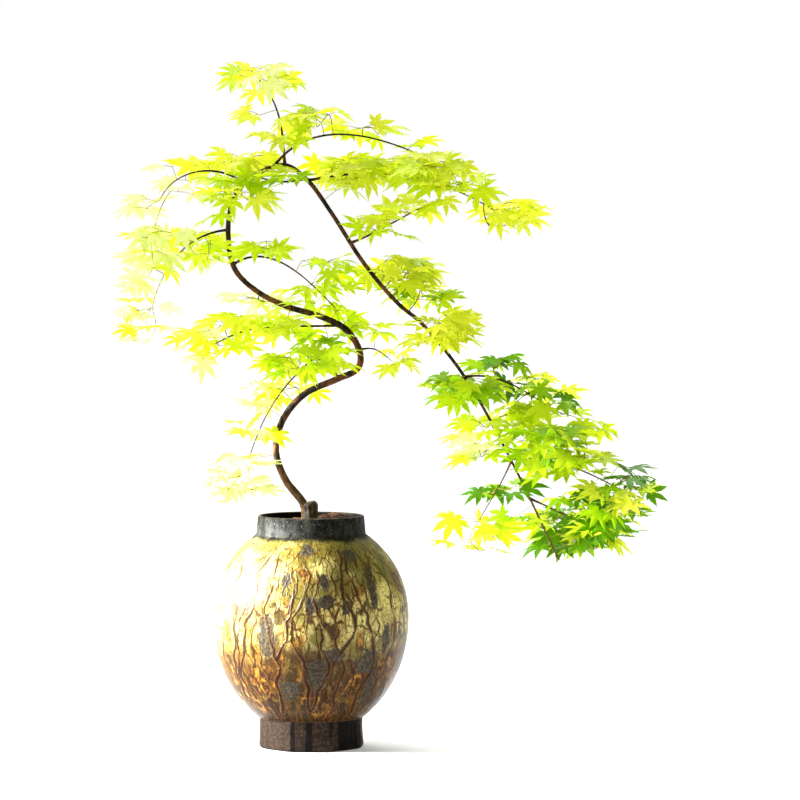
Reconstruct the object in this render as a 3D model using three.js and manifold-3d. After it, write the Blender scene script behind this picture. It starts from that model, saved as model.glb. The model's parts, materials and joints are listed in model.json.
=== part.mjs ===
// A Japanese maple trained as a small cascading tree, in a round drip-glazed jar.
// Millimetres, +Z up, +X to the cascade's side. The origin is the centre of the jar's flat underside.
import * as THREE from "three";
import { mergeVertices } from "three/addons/utils/BufferGeometryUtils.js";
import Module from "manifold-3d";

const wasm = await Module();
wasm.setup();

// ---- driving dimensions -------------------------------------------------------------------------

const gap = 0.4; // left between neighbours that would touch

const jar = {
  bellyRadius: 102.7,
  bellyHeight: 137, // where the belly is widest
  upperHalf: 105, // half axes of the belly's two quarter ellipses
  lowerHalf: 125,
  footRadius: 56.4,
  footHeight: 31,
  footFlare: 1.2, // the foot swells a little above its lower edge
  footSwell: 5.6, // height where it is widest
  footFacets: 8, // knife-cut flats round the foot, one of them to the front
  facetDepth: 0.5, // 0 leaves the foot round, 1 makes it an octagon
  footEdge: 3.5, // radius of the rounded lower edge
  footStep: 2, // height in which the foot passes into the belly
  neckRadius: 57.5,
  neckHeight: 224,
  rimRadius: 55.8,
  rimHeight: 244,
  lipThickness: 3.6,
  lipRound: 1.5,
  wall: 6.5,
  floor: 10,
  hollowDepth: 0.9, // share of the lower half that is hollow
  hollowFloor: 0.82, // radius of the flat floor inside, as a share of the hollow's radius there
  around: 32,
};

const soil = {
  crown: 238.6, // level ground round the trunk
  crownRadius: 22,
  edge: 235.4, // where it meets the neck
  lean: 1.4, // higher on the cascade's side by this much at the edge
  shoulder: { radius: 37, rise: 1.2 }, // where the level starts to fall, and its height over the edge
  mound: { x: 26, y: 21, radius: 19, height: 5 }, // root fibres heaped behind the cascade's side
};

// The trunk's bends, from the cut at ground level to the tip of the cascade.
const trunkKnots = [
  [-4, 0, 239],
  [-8, 0, 256],
  [-27, 3, 281],
  [-37, 6, 311],
  [-30, 6, 343],
  [-7, 1, 371],
  [27, -5, 387],
  [49, -7, 398],
  [52, -6, 413],
  [38, -2, 438],
  [9, 4, 453],
  [-25, 9, 463],
  [-57, 12, 479],
  [-80, 12, 502],
  [-87, 10, 540],
  [-82, 6, 573],
  [-66, 2, 596],
  [-27, -3, 611],
  [-3, -6, 595],
  [20, -9, 564],
  [57, -12, 507],
  [92, -14, 466],
  [116, -15, 446],
  [161, -16, 390],
  [209, -18, 304],
  [260, -20, 198],
];

// The trunk's stretches, split where it bends: first knot, last knot, radius at each end.
const trunkStretches = {
  trunk_foot: [0, 3, 4.3, 3.5],
  trunk_low_bend: [3, 6, 3.5, 3.5],
  trunk_elbow: [6, 9, 3.5, 3.4],
  trunk_back_run: [9, 12, 3.4, 2.9],
  trunk_left_sweep: [12, 15, 2.9, 2.5],
  trunk_arch: [15, 18, 2.5, 2.3],
  cascade_upper: [18, 22, 2.3, 2.1],
  cascade_lower: [22, 25, 2.1, 0.9],
};

const flare = { x: 2, topRadius: 4.2, radius: 7.2, height: 7 }; // where the trunk swells into its roots
const stump = { x: -0.4, y: -4.5, radius: 7.2, height: 20.4 }; // healed cut of the first leader

// Boughs: the trunk knot (or the parent bough and the share of its length) where each one leaves, its tip,
// the directions in which it leaves and arrives (degrees from +X towards +Z), its two radii, and the mass
// of leaves that it ends in.
const boughs = {
  leader: {
    at: 17, tip: [-54, 6, 700], leave: 94, arrive: 132, radii: [1.4, 0.7], into: "leaves_crown_tip",
  },
  bough_top_right: {
    at: 16.7, tip: [150, -30, 603], leave: 54, arrive: -30, radii: [1.3, 0.7], into: "leaves_top_right_tip",
  },
  bough_mid_right: {
    at: 18, tip: [196, 22, 562], leave: 12, arrive: -32, radii: [1.3, 0.7], into: "leaves_mid_right_tip",
  },
  bough_low_right: {
    at: 19.6, tip: [134, -30, 574], leave: 20, arrive: 20, radii: [1.2, 0.7], into: "leaves_low_right",
  },
  bough_left_top: {
    at: 17.9, tip: [-92, 26, 615], leave: 195, arrive: 156, radii: [1.2, 0.6], into: "leaves_left_top",
  },
  bough_left_long: {
    at: 15.8, tip: [-156, -24, 576], leave: 140, arrive: 246, radii: [1.3, 0.7], into: "leaves_left_top_out",
  },
  bough_left_mid: {
    at: 14.1, tip: [-168, 22, 462], leave: 184, arrive: 256, radii: [1.2, 0.6], into: "leaves_left_drop",
  },
  bough_loop: {
    at: 13.15, tip: [26, -20, 462], leave: 34, arrive: -46, radii: [1.2, 0.6], into: "leaves_loop_tip",
  },
  bough_low_left: {
    at: 9.3, tip: [-100, -26, 424], leave: 184, arrive: 212, radii: [1.3, 0.7], into: "leaves_low_left_tip",
  },
  bough_right_twig: {
    at: 8.2, tip: [84, 20, 406], leave: 14, arrive: -40, radii: [0.9, 0.5], into: "leaves_right_twig",
  },
  bough_hang: { at: 6.1, tip: [-2, -22, 405], leave: 118, arrive: 222, radii: [1.3, 0.9] },
  bough_hang_drop: {
    on: "bough_hang", at: 0.985, tip: [-66, -32, 298], leave: 222, arrive: 254, radii: [0.9, 0.6],
    into: "leaves_hang_tip",
  },
  bough_cascade_out: {
    at: 23, tip: [264, 12, 350], leave: 8, arrive: -28, radii: [1.1, 0.6], into: "leaves_cascade_out",
  },
  bough_cascade_mid: {
    at: 24, tip: [330, -44, 270], leave: 4, arrive: -28, radii: [1.2, 0.7], into: "leaves_cascade_far",
  },
  bough_cascade_low: {
    at: 24.4, tip: [326, 14, 216], leave: -24, arrive: -22, radii: [1.0, 0.6], into: "leaves_cascade_low",
  },
  bough_cascade_drop: {
    at: 24.02, tip: [176, -44, 242], leave: 246, arrive: 240, radii: [0.8, 0.5], into: "leaves_cascade_drop",
  },
};

// Masses of leaves: centre, half sizes along, across and up, and tilt (degrees, raising the +X end).
const masses = {
  leaves_crown_tip: [-52, 4, 700, 43, 46, 20, -5],
  leaves_leader: [-36, -4, 649, 32, 48, 26, 0],
  leaves_top_right_near: [10, -30, 656, 34, 46, 18, 0],
  leaves_top_right_mid: [60, 20, 650, 36, 48, 16, -8],
  leaves_top_right_tip: [130, -28, 608, 54, 54, 25, -22],
  leaves_mid_right: [46, 18, 599, 60, 58, 22, 0],
  leaves_mid_right_tip: [204, 18, 560, 38, 46, 23, -15],
  leaves_low_right: [104, -30, 561, 64, 46, 14, 20],
  leaves_shoulder: [96, 10, 494, 52, 56, 23, -15],
  leaves_shoulder_low: [142, -34, 446, 38, 48, 28, -25],
  leaves_cascade_top: [197, 12, 402, 32, 42, 16, 5],
  leaves_cascade_inner: [162, -26, 381, 41, 48, 24, 0],
  leaves_cascade_out: [248, 14, 366, 62, 54, 24, -28],
  leaves_cascade_inner_low: [178, -36, 327, 37, 46, 31, 0],
  leaves_cascade_mid: [259, -36, 310, 64, 54, 33, -18],
  leaves_cascade_far: [329, -38, 268, 38, 46, 40, -25],
  leaves_cascade_low: [285, 14, 226, 69, 56, 31, -8],
  leaves_cascade_drop: [173, -42, 232, 44, 44, 36, 26],
  leaves_left_top: [-86, 26, 613, 58, 56, 19, 3],
  leaves_left_top_out: [-152, -22, 588, 38, 44, 28, 10],
  leaves_left_under: [-79, -26, 578, 43, 46, 18, 0],
  leaves_left_mid: [-118, 30, 523, 40, 50, 26, 8],
  leaves_left_mid_out: [-167, -4, 512, 30, 46, 36, 0],
  leaves_left_drop: [-177, 22, 450, 28, 40, 37, 0],
  leaves_loop_top: [-43, -22, 525, 40, 46, 18, -5],
  leaves_loop_tip: [18, -18, 489, 44, 48, 34, -28],
  leaves_short_left: [-68, 34, 470, 29, 40, 13, 0],
  leaves_low_left_tip: [-97, -26, 424, 50, 52, 34, 15],
  leaves_low_left_near: [-30, 32, 438, 38, 48, 18, 0],
  leaves_right_twig: [85, 16, 406, 35, 42, 22, -40],
  leaves_mid_pad: [-6, -28, 406, 58, 52, 19, 5],
  leaves_hang_top: [-35, 28, 372, 46, 48, 19, 5],
  leaves_hang_mid: [-57, -30, 336, 38, 42, 21, 20],
  leaves_hang_tip: [-68, -28, 285, 44, 44, 34, 20],
};

const limbSides = 8;
const boughSides = 5;
const footSides = 12;
const stepLength = 15; // between rings along a limb
const handleShare = 0.38; // how far a bough holds its first and last direction, as a share of its length
const massAround = 8;
const massRings = 5;
const unevenness = 0.24; // share of a mass's radius by which its surface wanders
const undersideFlat = 0.75; // a pad is flatter below than above

// ---- materials ----------------------------------------------------------------------------------

const finish = (color, roughness) => new THREE.MeshStandardMaterial({ color, roughness, metalness: 0 });
const glaze = finish(0xa89a58, 0.25);
const compost = finish(0x4a3424, 0.95);
const bark = finish(0x3a2418, 0.8);
const leaf = finish(0xb8dc28, 0.6);

// ---- solids -------------------------------------------------------------------------------------

const rad = THREE.MathUtils.degToRad;

function toSolid(geometry) {
  const bare = geometry.index ? geometry.toNonIndexed() : geometry.clone();
  bare.deleteAttribute("normal");
  bare.deleteAttribute("uv");
  const merged = mergeVertices(bare, 1e-4);
  return new wasm.Manifold(
    new wasm.Mesh({
      numProp: 3,
      vertProperties: new Float32Array(merged.attributes.position.array),
      triVerts: new Uint32Array(merged.index.array),
    }),
  );
}

function toMesh(name, solid, material) {
  const { numProp, vertProperties, triVerts, numVert } = solid.getMesh();
  const position = new Float32Array(numVert * 3);
  for (let i = 0; i < numVert; i++) {
    position.set(vertProperties.subarray(i * numProp, i * numProp + 3), i * 3);
  }
  const geometry = new THREE.BufferGeometry();
  geometry.setAttribute("position", new THREE.BufferAttribute(position, 3));
  geometry.setIndex(new THREE.BufferAttribute(new Uint32Array(triVerts), 1));
  geometry.computeVertexNormals();
  const mesh = new THREE.Mesh(geometry, material);
  mesh.name = name;
  return mesh;
}

function moveEachVertex(geometry, move) {
  const position = geometry.attributes.position;
  const v = new THREE.Vector3();
  for (let i = 0; i < position.count; i++) {
    move(v.fromBufferAttribute(position, i));
    position.setXYZ(i, v.x, v.y, v.z);
  }
  return geometry;
}

// One stretch of a longer curve, by the longer curve's own parameter.
class Stretch extends THREE.Curve {
  constructor(whole, from, to) {
    super();
    Object.assign(this, { whole, from, to });
  }
  getPoint(t, target = new THREE.Vector3()) {
    return this.whole.getPoint(THREE.MathUtils.lerp(this.from, this.to, t), target);
  }
}

// A closed tapering limb along a curve: a capped cylinder whose rings are carried to the curve.
function limbSolid(curve, radiusAt, sides) {
  const steps = Math.max(3, Math.round(curve.getLength() / stepLength));
  const frames = curve.computeFrenetFrames(steps);
  const rings = Array.from({ length: steps + 1 }, (_, i) => curve.getPointAt(i / steps));
  const cylinder = new THREE.CylinderGeometry(1, 1, 1, sides, steps);
  const carry = (v) => {
    const i = Math.round((v.y + 0.5) * steps);
    const r = radiusAt(i / steps);
    const across = frames.binormals[i].clone().multiplyScalar(v.x * r);
    const up = frames.normals[i].clone().multiplyScalar(v.z * r);
    v.copy(rings[i]).add(across).add(up);
  };
  return toSolid(moveEachVertex(cylinder, carry));
}

const taper = ([from, to], grow = 0) => (t) => THREE.MathUtils.lerp(from, to, t) + grow;

// ---- jar and soil -------------------------------------------------------------------------------

function bellyRadiusAt(z, inset = 0) {
  const rise = z - jar.bellyHeight;
  const half = (rise > 0 ? jar.upperHalf : jar.lowerHalf) - inset;
  return (jar.bellyRadius - inset) * Math.sqrt(Math.max(0, 1 - (rise / half) ** 2));
}

// Belly rings from the height where it leaves the foot to where it meets the neck.
function bellyProfile(from, to, count, inset) {
  return Array.from({ length: count + 1 }, (_, i) => {
    const z = THREE.MathUtils.lerp(from, to, i / count);
    return new THREE.Vector2(bellyRadiusAt(z, inset), z);
  });
}

const innerNeckRadius = jar.rimRadius - jar.lipThickness;

// The inside of the jar from the middle of its floor to its neck, or the same line drawn in by a gap.
function innerProfile(drawnIn) {
  const lowest = jar.bellyHeight - jar.hollowDepth * (jar.lowerHalf - jar.wall);
  const wall = bellyProfile(lowest, jar.neckHeight - 5, 4, jar.wall);
  const line = [
    new THREE.Vector2(0, jar.floor),
    new THREE.Vector2(jar.hollowFloor * wall[0].x, jar.floor),
    ...wall,
    new THREE.Vector2(innerNeckRadius, jar.neckHeight + 2),
  ];
  const draw = ({ x, y }) => new THREE.Vector2(Math.max(0, x - drawnIn), y === jar.floor ? y + drawnIn : y);
  return line.map(draw);
}

function jarSolid() {
  const { footRadius: foot, footEdge: edge, footHeight, neckHeight, rimRadius, rimHeight } = jar;
  const lip = jar.lipRound;
  const chamfer = (1 - Math.SQRT1_2) * edge; // half way round the lower edge
  const outer = [
    new THREE.Vector2(0, 0),
    new THREE.Vector2(foot - edge, 0),
    new THREE.Vector2(foot - chamfer, chamfer),
    new THREE.Vector2(foot + jar.footFlare, jar.footSwell),
    new THREE.Vector2(foot, footHeight - 1),
    ...bellyProfile(footHeight + jar.footStep, neckHeight - 3, 10, 0),
    new THREE.Vector2(jar.neckRadius, neckHeight + 2),
    new THREE.Vector2(rimRadius, rimHeight - lip),
    new THREE.Vector2(rimRadius - lip, rimHeight),
    new THREE.Vector2(innerNeckRadius + lip, rimHeight),
    new THREE.Vector2(innerNeckRadius, rimHeight - lip),
    ...innerProfile(0).reverse(),
  ];
  const turned = new THREE.LatheGeometry(outer, jar.around);
  turned.rotateX(Math.PI / 2);
  const facet = (2 * Math.PI) / jar.footFacets;
  const cutFacet = (v) => {
    if (v.z >= footHeight || Math.hypot(v.x, v.y) < foot - edge - 1) return;
    const turn = Math.atan2(v.y, v.x) / facet + 0.5;
    const toEdge = (turn - Math.floor(turn) - 0.5) * facet;
    const flat = Math.cos(facet / 2) / Math.cos(toEdge);
    const share = THREE.MathUtils.lerp(1, flat, jar.facetDepth);
    v.x *= share;
    v.y *= share;
  };
  return toSolid(moveEachVertex(turned, cutFacet));
}

function soilSolid() {
  const profile = [
    ...innerProfile(gap),
    new THREE.Vector2(innerNeckRadius - gap, soil.edge),
    new THREE.Vector2(soil.shoulder.radius, soil.edge + soil.shoulder.rise),
    new THREE.Vector2(soil.crownRadius, soil.crown),
    new THREE.Vector2(0, soil.crown),
  ];
  const turned = new THREE.LatheGeometry(profile, jar.around);
  turned.rotateX(Math.PI / 2);
  const { mound } = soil;
  const heap = (v) => {
    const out = Math.hypot(v.x, v.y);
    if (v.z < soil.edge - 2 || out < soil.crownRadius + 1) return;
    const away = Math.hypot(v.x - mound.x, v.y - mound.y) / mound.radius;
    v.z += (soil.lean * v.x) / innerNeckRadius + mound.height * Math.exp(-away * away);
  };
  return toSolid(moveEachVertex(turned, heap));
}

// ---- trunk and boughs ---------------------------------------------------------------------------

const vector = (p) => new THREE.Vector3(...p);
const trunkCurve = new THREE.CatmullRomCurve3(trunkKnots.map(vector));
const lastKnot = trunkKnots.length - 1;

function trunkStretchCurve([from, to]) {
  const length = new Stretch(trunkCurve, from / lastKnot, to / lastKnot).getLength();
  const trim = (gap / 2 / length) * (to - from);
  const start = from === 0 ? 0 : from + trim;
  const end = to === lastKnot ? to : to - trim;
  return new Stretch(trunkCurve, start / lastKnot, end / lastKnot);
}

// The foot of the trunk joins the flare and the stump, and all are cut flat at ground level.
function footSolid(limb, grow) {
  const [x, y, ground] = trunkKnots[0];
  const [top, bottom] = [flare.topRadius + grow, flare.radius + grow];
  const swell = new THREE.CylinderGeometry(top, bottom, flare.height, footSides);
  swell.rotateX(Math.PI / 2).translate(x + flare.x, y, ground + flare.height / 2);
  const rounded = [[0, 0], [1.06, 0], [1, 0.45], [0.92, 0.75], [0.6, 0.95], [0, 1]];
  const profile = rounded.map(([r, z]) => new THREE.Vector2(r * (stump.radius + grow), z * stump.height));
  const knuckle = new THREE.LatheGeometry(profile, footSides);
  knuckle.rotateX(Math.PI / 2).translate(stump.x, stump.y, ground);
  const ceiling = 200;
  const above = new THREE.BoxGeometry(ceiling, ceiling, ceiling);
  above.translate(x, y, ground + ceiling / 2);
  return limb.add(toSolid(swell)).add(toSolid(knuckle)).intersect(toSolid(above));
}

function trunkSolid(name, grow = 0) {
  const [from, to, ...radii] = trunkStretches[name];
  const limb = limbSolid(trunkStretchCurve([from, to]), taper(radii, grow), limbSides);
  return from === 0 ? footSolid(limb, grow) : limb;
}

const direction = (degrees) => new THREE.Vector3(Math.cos(rad(degrees)), 0, Math.sin(rad(degrees)));

function boughCurve({ on, at, tip, leave, arrive }) {
  const start = on ? boughCurve(boughs[on]).getPointAt(at) : trunkCurve.getPoint(at / lastKnot);
  const end = vector(tip);
  const reach = handleShare * start.distanceTo(end);
  const sway = (end.y - start.y) / 3;
  const handleOut = start.clone().addScaledVector(direction(leave), reach);
  const handleIn = end.clone().addScaledVector(direction(arrive), -reach);
  handleOut.y += sway;
  handleIn.y -= sway;
  return new THREE.CubicBezierCurve3(start, handleOut, handleIn, end);
}

const boughSolid = (name, grow = 0) =>
  limbSolid(boughCurve(boughs[name]), taper(boughs[name].radii, grow), boughSides);

// ---- masses of leaves ---------------------------------------------------------------------------

// Slow waves over the unit sphere, different for every mass.
function wander(v, seed) {
  const first = Math.sin(3.1 * v.x + 1.7 * seed) * Math.cos(2.7 * v.y - 0.9 * seed);
  const second = Math.sin(5.3 * v.y + 4.1 * v.x + 2.3 * seed);
  const third = Math.cos(4.7 * v.z + 3.3 * v.x - 1.1 * seed);
  return unevenness * (0.5 * first + 0.3 * second + 0.2 * third);
}

function massSolid(name, grow = 0) {
  const [x, y, z, along, across, up, tilt] = masses[name];
  const seed = Object.keys(masses).indexOf(name) + 1;
  const pad = new THREE.SphereGeometry(1, massAround, massRings);
  pad.rotateX(Math.PI / 2);
  const shape = (v) => {
    const swell = 1 + wander(v, seed);
    const height = v.z < 0 ? up * undersideFlat : up;
    v.set(v.x * (along * swell + grow), v.y * (across * swell + grow), v.z * (height * swell + grow));
  };
  moveEachVertex(pad, shape);
  pad.rotateY(-rad(tilt)).translate(x, y, z);
  return toSolid(pad);
}

// ---- assembly -----------------------------------------------------------------------------------

const names = (table) => Object.keys(table);
const without = (solid, cutters) => cutters.reduce((left, cutter) => left.subtract(cutter), solid);
const largestPiece = (solid) => solid.decompose().sort((a, b) => b.volume() - a.volume())[0];

// Of the pieces a cut leaves, the one that holds on to the limb's parent. Crumbs are not counted.
const crumb = 6; // cubic millimetres
function rootedPiece(solid, root) {
  const away = (piece) => {
    const { min, max } = piece.boundingBox();
    return new THREE.Box3(vector(min), vector(max)).distanceToPoint(root);
  };
  const pieces = solid.decompose().filter((piece) => piece.volume() > crumb);
  return pieces.sort((a, b) => away(a) - away(b))[0];
}

// The trunk stays whole. A bough is cut clear of the limbs before it and ends at the face of its own mass.
const trunk = names(trunkStretches).map((name) => trunkSolid(name, gap));
const boughCutters = {};
function cutBough(name) {
  const earlier = Object.values(boughCutters);
  const own = boughs[name].into ? [massSolid(boughs[name].into, gap)] : [];
  const root = boughCurve(boughs[name]).v0;
  const solid = rootedPiece(without(boughSolid(name), [...trunk, ...earlier, ...own]), root);
  boughCutters[name] = without(boughSolid(name, gap), own);
  return solid;
}

// A mass is cut round the trunk, round the boughs and clear of the masses before it.
const massCutters = [];
function cutMass(name) {
  const cutters = [...trunk, ...Object.values(boughCutters), ...massCutters];
  const solid = largestPiece(without(massSolid(name), cutters));
  massCutters.push(massSolid(name, gap));
  return solid;
}

const group = new THREE.Group();
group.name = "potted_maple";
group.add(toMesh("jar", jarSolid(), glaze));
group.add(toMesh("soil", soilSolid(), compost));
for (const name of names(trunkStretches)) group.add(toMesh(name, trunkSolid(name), bark));
for (const name of names(boughs)) group.add(toMesh(name, cutBough(name), bark));
for (const name of names(masses)) group.add(toMesh(name, cutMass(name), leaf));

export default group;
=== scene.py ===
import json
import math
import random

import bpy
import numpy as np
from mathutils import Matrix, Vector, noise

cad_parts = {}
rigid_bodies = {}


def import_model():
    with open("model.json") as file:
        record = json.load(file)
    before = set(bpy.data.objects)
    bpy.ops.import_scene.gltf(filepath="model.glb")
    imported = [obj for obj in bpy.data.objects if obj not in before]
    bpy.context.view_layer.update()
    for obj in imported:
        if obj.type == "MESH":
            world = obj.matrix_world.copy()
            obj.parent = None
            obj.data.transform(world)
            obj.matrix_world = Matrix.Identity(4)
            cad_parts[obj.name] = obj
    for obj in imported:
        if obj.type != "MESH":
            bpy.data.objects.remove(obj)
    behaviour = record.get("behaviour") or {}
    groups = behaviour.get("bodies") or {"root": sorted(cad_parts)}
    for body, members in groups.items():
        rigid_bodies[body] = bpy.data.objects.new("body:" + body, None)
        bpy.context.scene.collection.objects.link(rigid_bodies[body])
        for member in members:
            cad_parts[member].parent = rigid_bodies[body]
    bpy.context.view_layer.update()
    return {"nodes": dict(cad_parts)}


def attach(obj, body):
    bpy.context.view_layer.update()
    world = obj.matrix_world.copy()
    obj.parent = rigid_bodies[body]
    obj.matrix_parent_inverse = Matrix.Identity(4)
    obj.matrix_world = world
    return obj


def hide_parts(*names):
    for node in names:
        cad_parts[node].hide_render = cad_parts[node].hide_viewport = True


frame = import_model()
mm = 0.001


# Small helpers for node trees. Every socket is reached by its name or its number.

def addNode(tree, kind, inputs=None, **settings):
    node = tree.nodes.new(kind)
    for name, value in settings.items():
        setattr(node, name, value)
    for socket, value in (inputs or {}).items():
        target = node.inputs[socket]
        if isinstance(value, bpy.types.NodeSocket):
            tree.links.new(value, target)
        else:
            target.default_value = value
    return node


def fromNode(tree, kind, inputs=None, out=0, **settings):
    return addNode(tree, kind, inputs, **settings).outputs[out]


def mathNode(tree, operation, *values):
    return fromNode(tree, "ShaderNodeMath", dict(enumerate(values)), operation=operation)


def vectorMath(tree, operation, *values, out=0):
    return fromNode(tree, "ShaderNodeVectorMath", dict(enumerate(values)), out, operation=operation)


def centred(tree, value):
    # Noise runs from 0 to 1 about its middle.
    return mathNode(tree, "SUBTRACT", value, 0.5)


def mapped(tree, value, low, high, first=0.0, last=1.0):
    return fromNode(tree, "ShaderNodeMapRange", {
        "Value": value, "From Min": low, "From Max": high, "To Min": first, "To Max": last,
    })


def noiseNode(tree, vector, scale, detail, roughness=0.5, out=0):
    return fromNode(tree, "ShaderNodeTexNoise", {
        "Vector": vector, "Scale": scale, "Detail": detail, "Roughness": roughness,
    }, out)


def bumpNode(tree, height, strength, distance):
    return fromNode(tree, "ShaderNodeBump", {"Height": height, "Strength": strength, "Distance": distance})


def newMaterial(name):
    material = bpy.data.materials.new(name)
    material.use_nodes = True
    material.node_tree.nodes.clear()
    return material, material.node_tree, fromNode(material.node_tree, "ShaderNodeTexCoord", out="Object")


def finishMaterial(tree, shader):
    addNode(tree, "ShaderNodeOutputMaterial", {"Surface": shader})


def paint(tree, inputs):
    finishMaterial(tree, fromNode(tree, "ShaderNodeBsdfPrincipled", inputs))


def mixColor(tree, factor, first, second):
    return fromNode(tree, "ShaderNodeMix", {0: factor, 6: first, 7: second}, 2, data_type="RGBA")


def ramp(tree, factor, stops):
    node = addNode(tree, "ShaderNodeValToRGB", {"Fac": factor})
    elements = node.color_ramp.elements
    while len(elements) < len(stops):
        elements.new(0.5)
    for element, (place, color) in zip(elements, stops):
        element.position = place
        element.color = color if isinstance(color, tuple) else (color, color, color, 1)
    return node.outputs[0]


def rgb(red, green, blue):
    # A colour given as it looks on a screen, 0 to 255, in the linear values that shaders take.
    def linear(v):
        v /= 255
        return v / 12.92 if v <= 0.04045 else ((v + 0.055) / 1.055) ** 2.4
    return (linear(red), linear(green), linear(blue), 1)


def geometryTree(name, sockets):
    tree = bpy.data.node_groups.new(name, "GeometryNodeTree")
    tree.interface.new_socket("Geometry", in_out="INPUT", socket_type="NodeSocketGeometry")
    for label, kind in sockets.items():
        tree.interface.new_socket(label, in_out="INPUT", socket_type="NodeSocket" + kind)
    tree.interface.new_socket("Geometry", in_out="OUTPUT", socket_type="NodeSocketGeometry")
    return tree, tree.nodes.new("NodeGroupInput").outputs


def namedAttribute(tree, name, kind):
    return fromNode(tree, "GeometryNodeInputNamedAttribute", {"Name": name}, data_type=kind)


def compared(tree, kind, operation, inputs):
    return fromNode(tree, "FunctionNodeCompare", inputs, data_type=kind, operation=operation)


def finishTree(tree, geometry, material):
    real = fromNode(tree, "GeometryNodeRealizeInstances", {"Geometry": geometry})
    final = fromNode(tree, "GeometryNodeSetMaterial", {"Geometry": real, "Material": material})
    addNode(tree, "NodeGroupOutput", {"Geometry": final})


def grow(host, tree, values, name):
    # Runs a tree on its host and keeps the result as a plain mesh.
    modifier = host.modifiers.new(tree.name, "NODES")
    modifier.node_group = tree
    for item in tree.interface.items_tree:
        if item.item_type == "SOCKET" and item.in_out == "INPUT" and item.name in values:
            modifier[item.identifier] = values[item.name]
    bpy.context.view_layer.update()
    graph = bpy.context.evaluated_depsgraph_get()
    mesh = bpy.data.meshes.new_from_object(host.evaluated_get(graph), depsgraph=graph)
    mesh.name = name
    piece = addToScene(name, mesh)
    host.modifiers.remove(modifier)
    bpy.data.objects.remove(host)
    return piece


def dropShapes(shapes):
    for shape in list(shapes.objects):
        bpy.data.objects.remove(shape)
    bpy.data.collections.remove(shapes)


def meshObject(name, verts, faces, edges=(), attributes=None, material=None, smooth=True):
    mesh = bpy.data.meshes.new(name)
    mesh.from_pydata([tuple(v) for v in verts], list(edges), list(faces))
    for label, (kind, values) in (attributes or {}).items():
        field = "vector" if kind == "FLOAT_VECTOR" else "value"
        mesh.attributes.new(label, kind, "POINT").data.foreach_set(field, np.asarray(values).ravel())
    if smooth:
        mesh.shade_smooth()
    if material:
        mesh.materials.append(material)
    mesh.update()
    return addToScene(name, mesh)


def shapeCollection(name, loose):
    # Loose shapes for a tree to set down many times over, kept out of the scene.
    shapes = bpy.data.collections.new(name)
    for shape in loose:
        bpy.context.scene.collection.objects.unlink(shape)
        shapes.objects.link(shape)
    return shapes


def triangles(piece):
    piece.data.calc_loop_triangles()
    return len(piece.data.loop_triangles)


def addToScene(name, data):
    made = bpy.data.objects.new(name, data)
    bpy.context.scene.collection.objects.link(made)
    return made


def place(piece, slot, *nodes):
    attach(piece, "root")
    if nodes:
        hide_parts(*nodes)


# Camera, lights and floor

studio = {
    "distance": 4.2,
    "aim": (0.0935, 0.365),  # where the middle of the view meets the plant's plane, X and Z
    "pitch": 2.5,  # degrees looking down
    "lens": 180,
    "ambient": 0.44,  # what the white surround gives the plant
    "window": dict(location=(-1.9, 0.1, 0.95), target=(0.05, 0, 0.35), size=(1.5, 1.9), watts=53),
    "strip": dict(location=(-0.84, -0.06, 0.46), target=(-0.09, 0, 0.18), size=(0.34, 0.3), watts=7, spread=34),
    "back": {"toward": (0.35, -1.0, -1.25), "strength": 4.5, "angle": 50},
    "floor": {"grey": 0.62, "glow": 0.24, "reach": 40},
}


def buildCamera():
    pitch = math.radians(studio["pitch"])
    x, z = studio["aim"]
    camera = addToScene("camera", bpy.data.cameras.new("camera"))
    camera.location = (x, -studio["distance"] * math.cos(pitch), z + studio["distance"] * math.sin(pitch))
    camera.rotation_euler = (math.pi / 2 - pitch, 0, 0)
    camera.data.lens = studio["lens"]
    camera.data.clip_end = 100
    bpy.context.scene.camera = camera


def looking(way):
    return way.to_track_quat("-Z", "Y").to_euler()


def areaLight(name, location, target, size, watts, spread=180):
    light = addToScene(name, bpy.data.lights.new(name, "AREA"))
    light.data.shape = "RECTANGLE"
    light.data.size, light.data.size_y = size
    light.data.energy = watts
    light.data.spread = math.radians(spread)
    light.location = location
    light.rotation_euler = looking(Vector(target) - Vector(location))


def buildStudio():
    areaLight("window", **studio["window"])
    areaLight("strip", **studio["strip"])
    back, floor = studio["back"], studio["floor"]
    sun = addToScene("back", bpy.data.lights.new("back", "SUN"))
    sun.data.energy = back["strength"]
    sun.data.angle = math.radians(back["angle"])
    sun.rotation_euler = looking(Vector(back["toward"]))
    world = bpy.data.worlds.new("studio")
    world.use_nodes = True
    tree = world.node_tree
    tree.nodes.clear()
    seen = fromNode(tree, "ShaderNodeLightPath", out="Is Camera Ray")
    strength = mapped(tree, seen, 0.0, 1.0, studio["ambient"], 1.0)
    sky = fromNode(tree, "ShaderNodeBackground", {"Color": (1, 1, 1, 1), "Strength": strength})
    addNode(tree, "ShaderNodeOutputWorld", {"Surface": sky})
    bpy.context.scene.world = world
    material, tree = newMaterial("paleFloor")[:2]
    paint(tree, {
        "Base Color": (*[floor["grey"]] * 3, 1), "Roughness": 0.9,
        "Emission Color": (1, 1, 1, 1), "Emission Strength": floor["glow"],
    })
    reach = floor["reach"]
    corners = [(-reach, -reach, 0), (reach, -reach, 0), (reach, reach, 0), (-reach, reach, 0)]
    meshObject("floor", corners, [(0, 1, 2, 3)], material=material)
    bpy.context.scene.view_settings.view_transform = "Standard"


buildCamera()
buildStudio()
print("studio ready")


# The limbs follow the frame's own rule: a trunk through its bends, and boughs that leave it and arrive
# at their tips in given directions. Millimetres and degrees.

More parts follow.
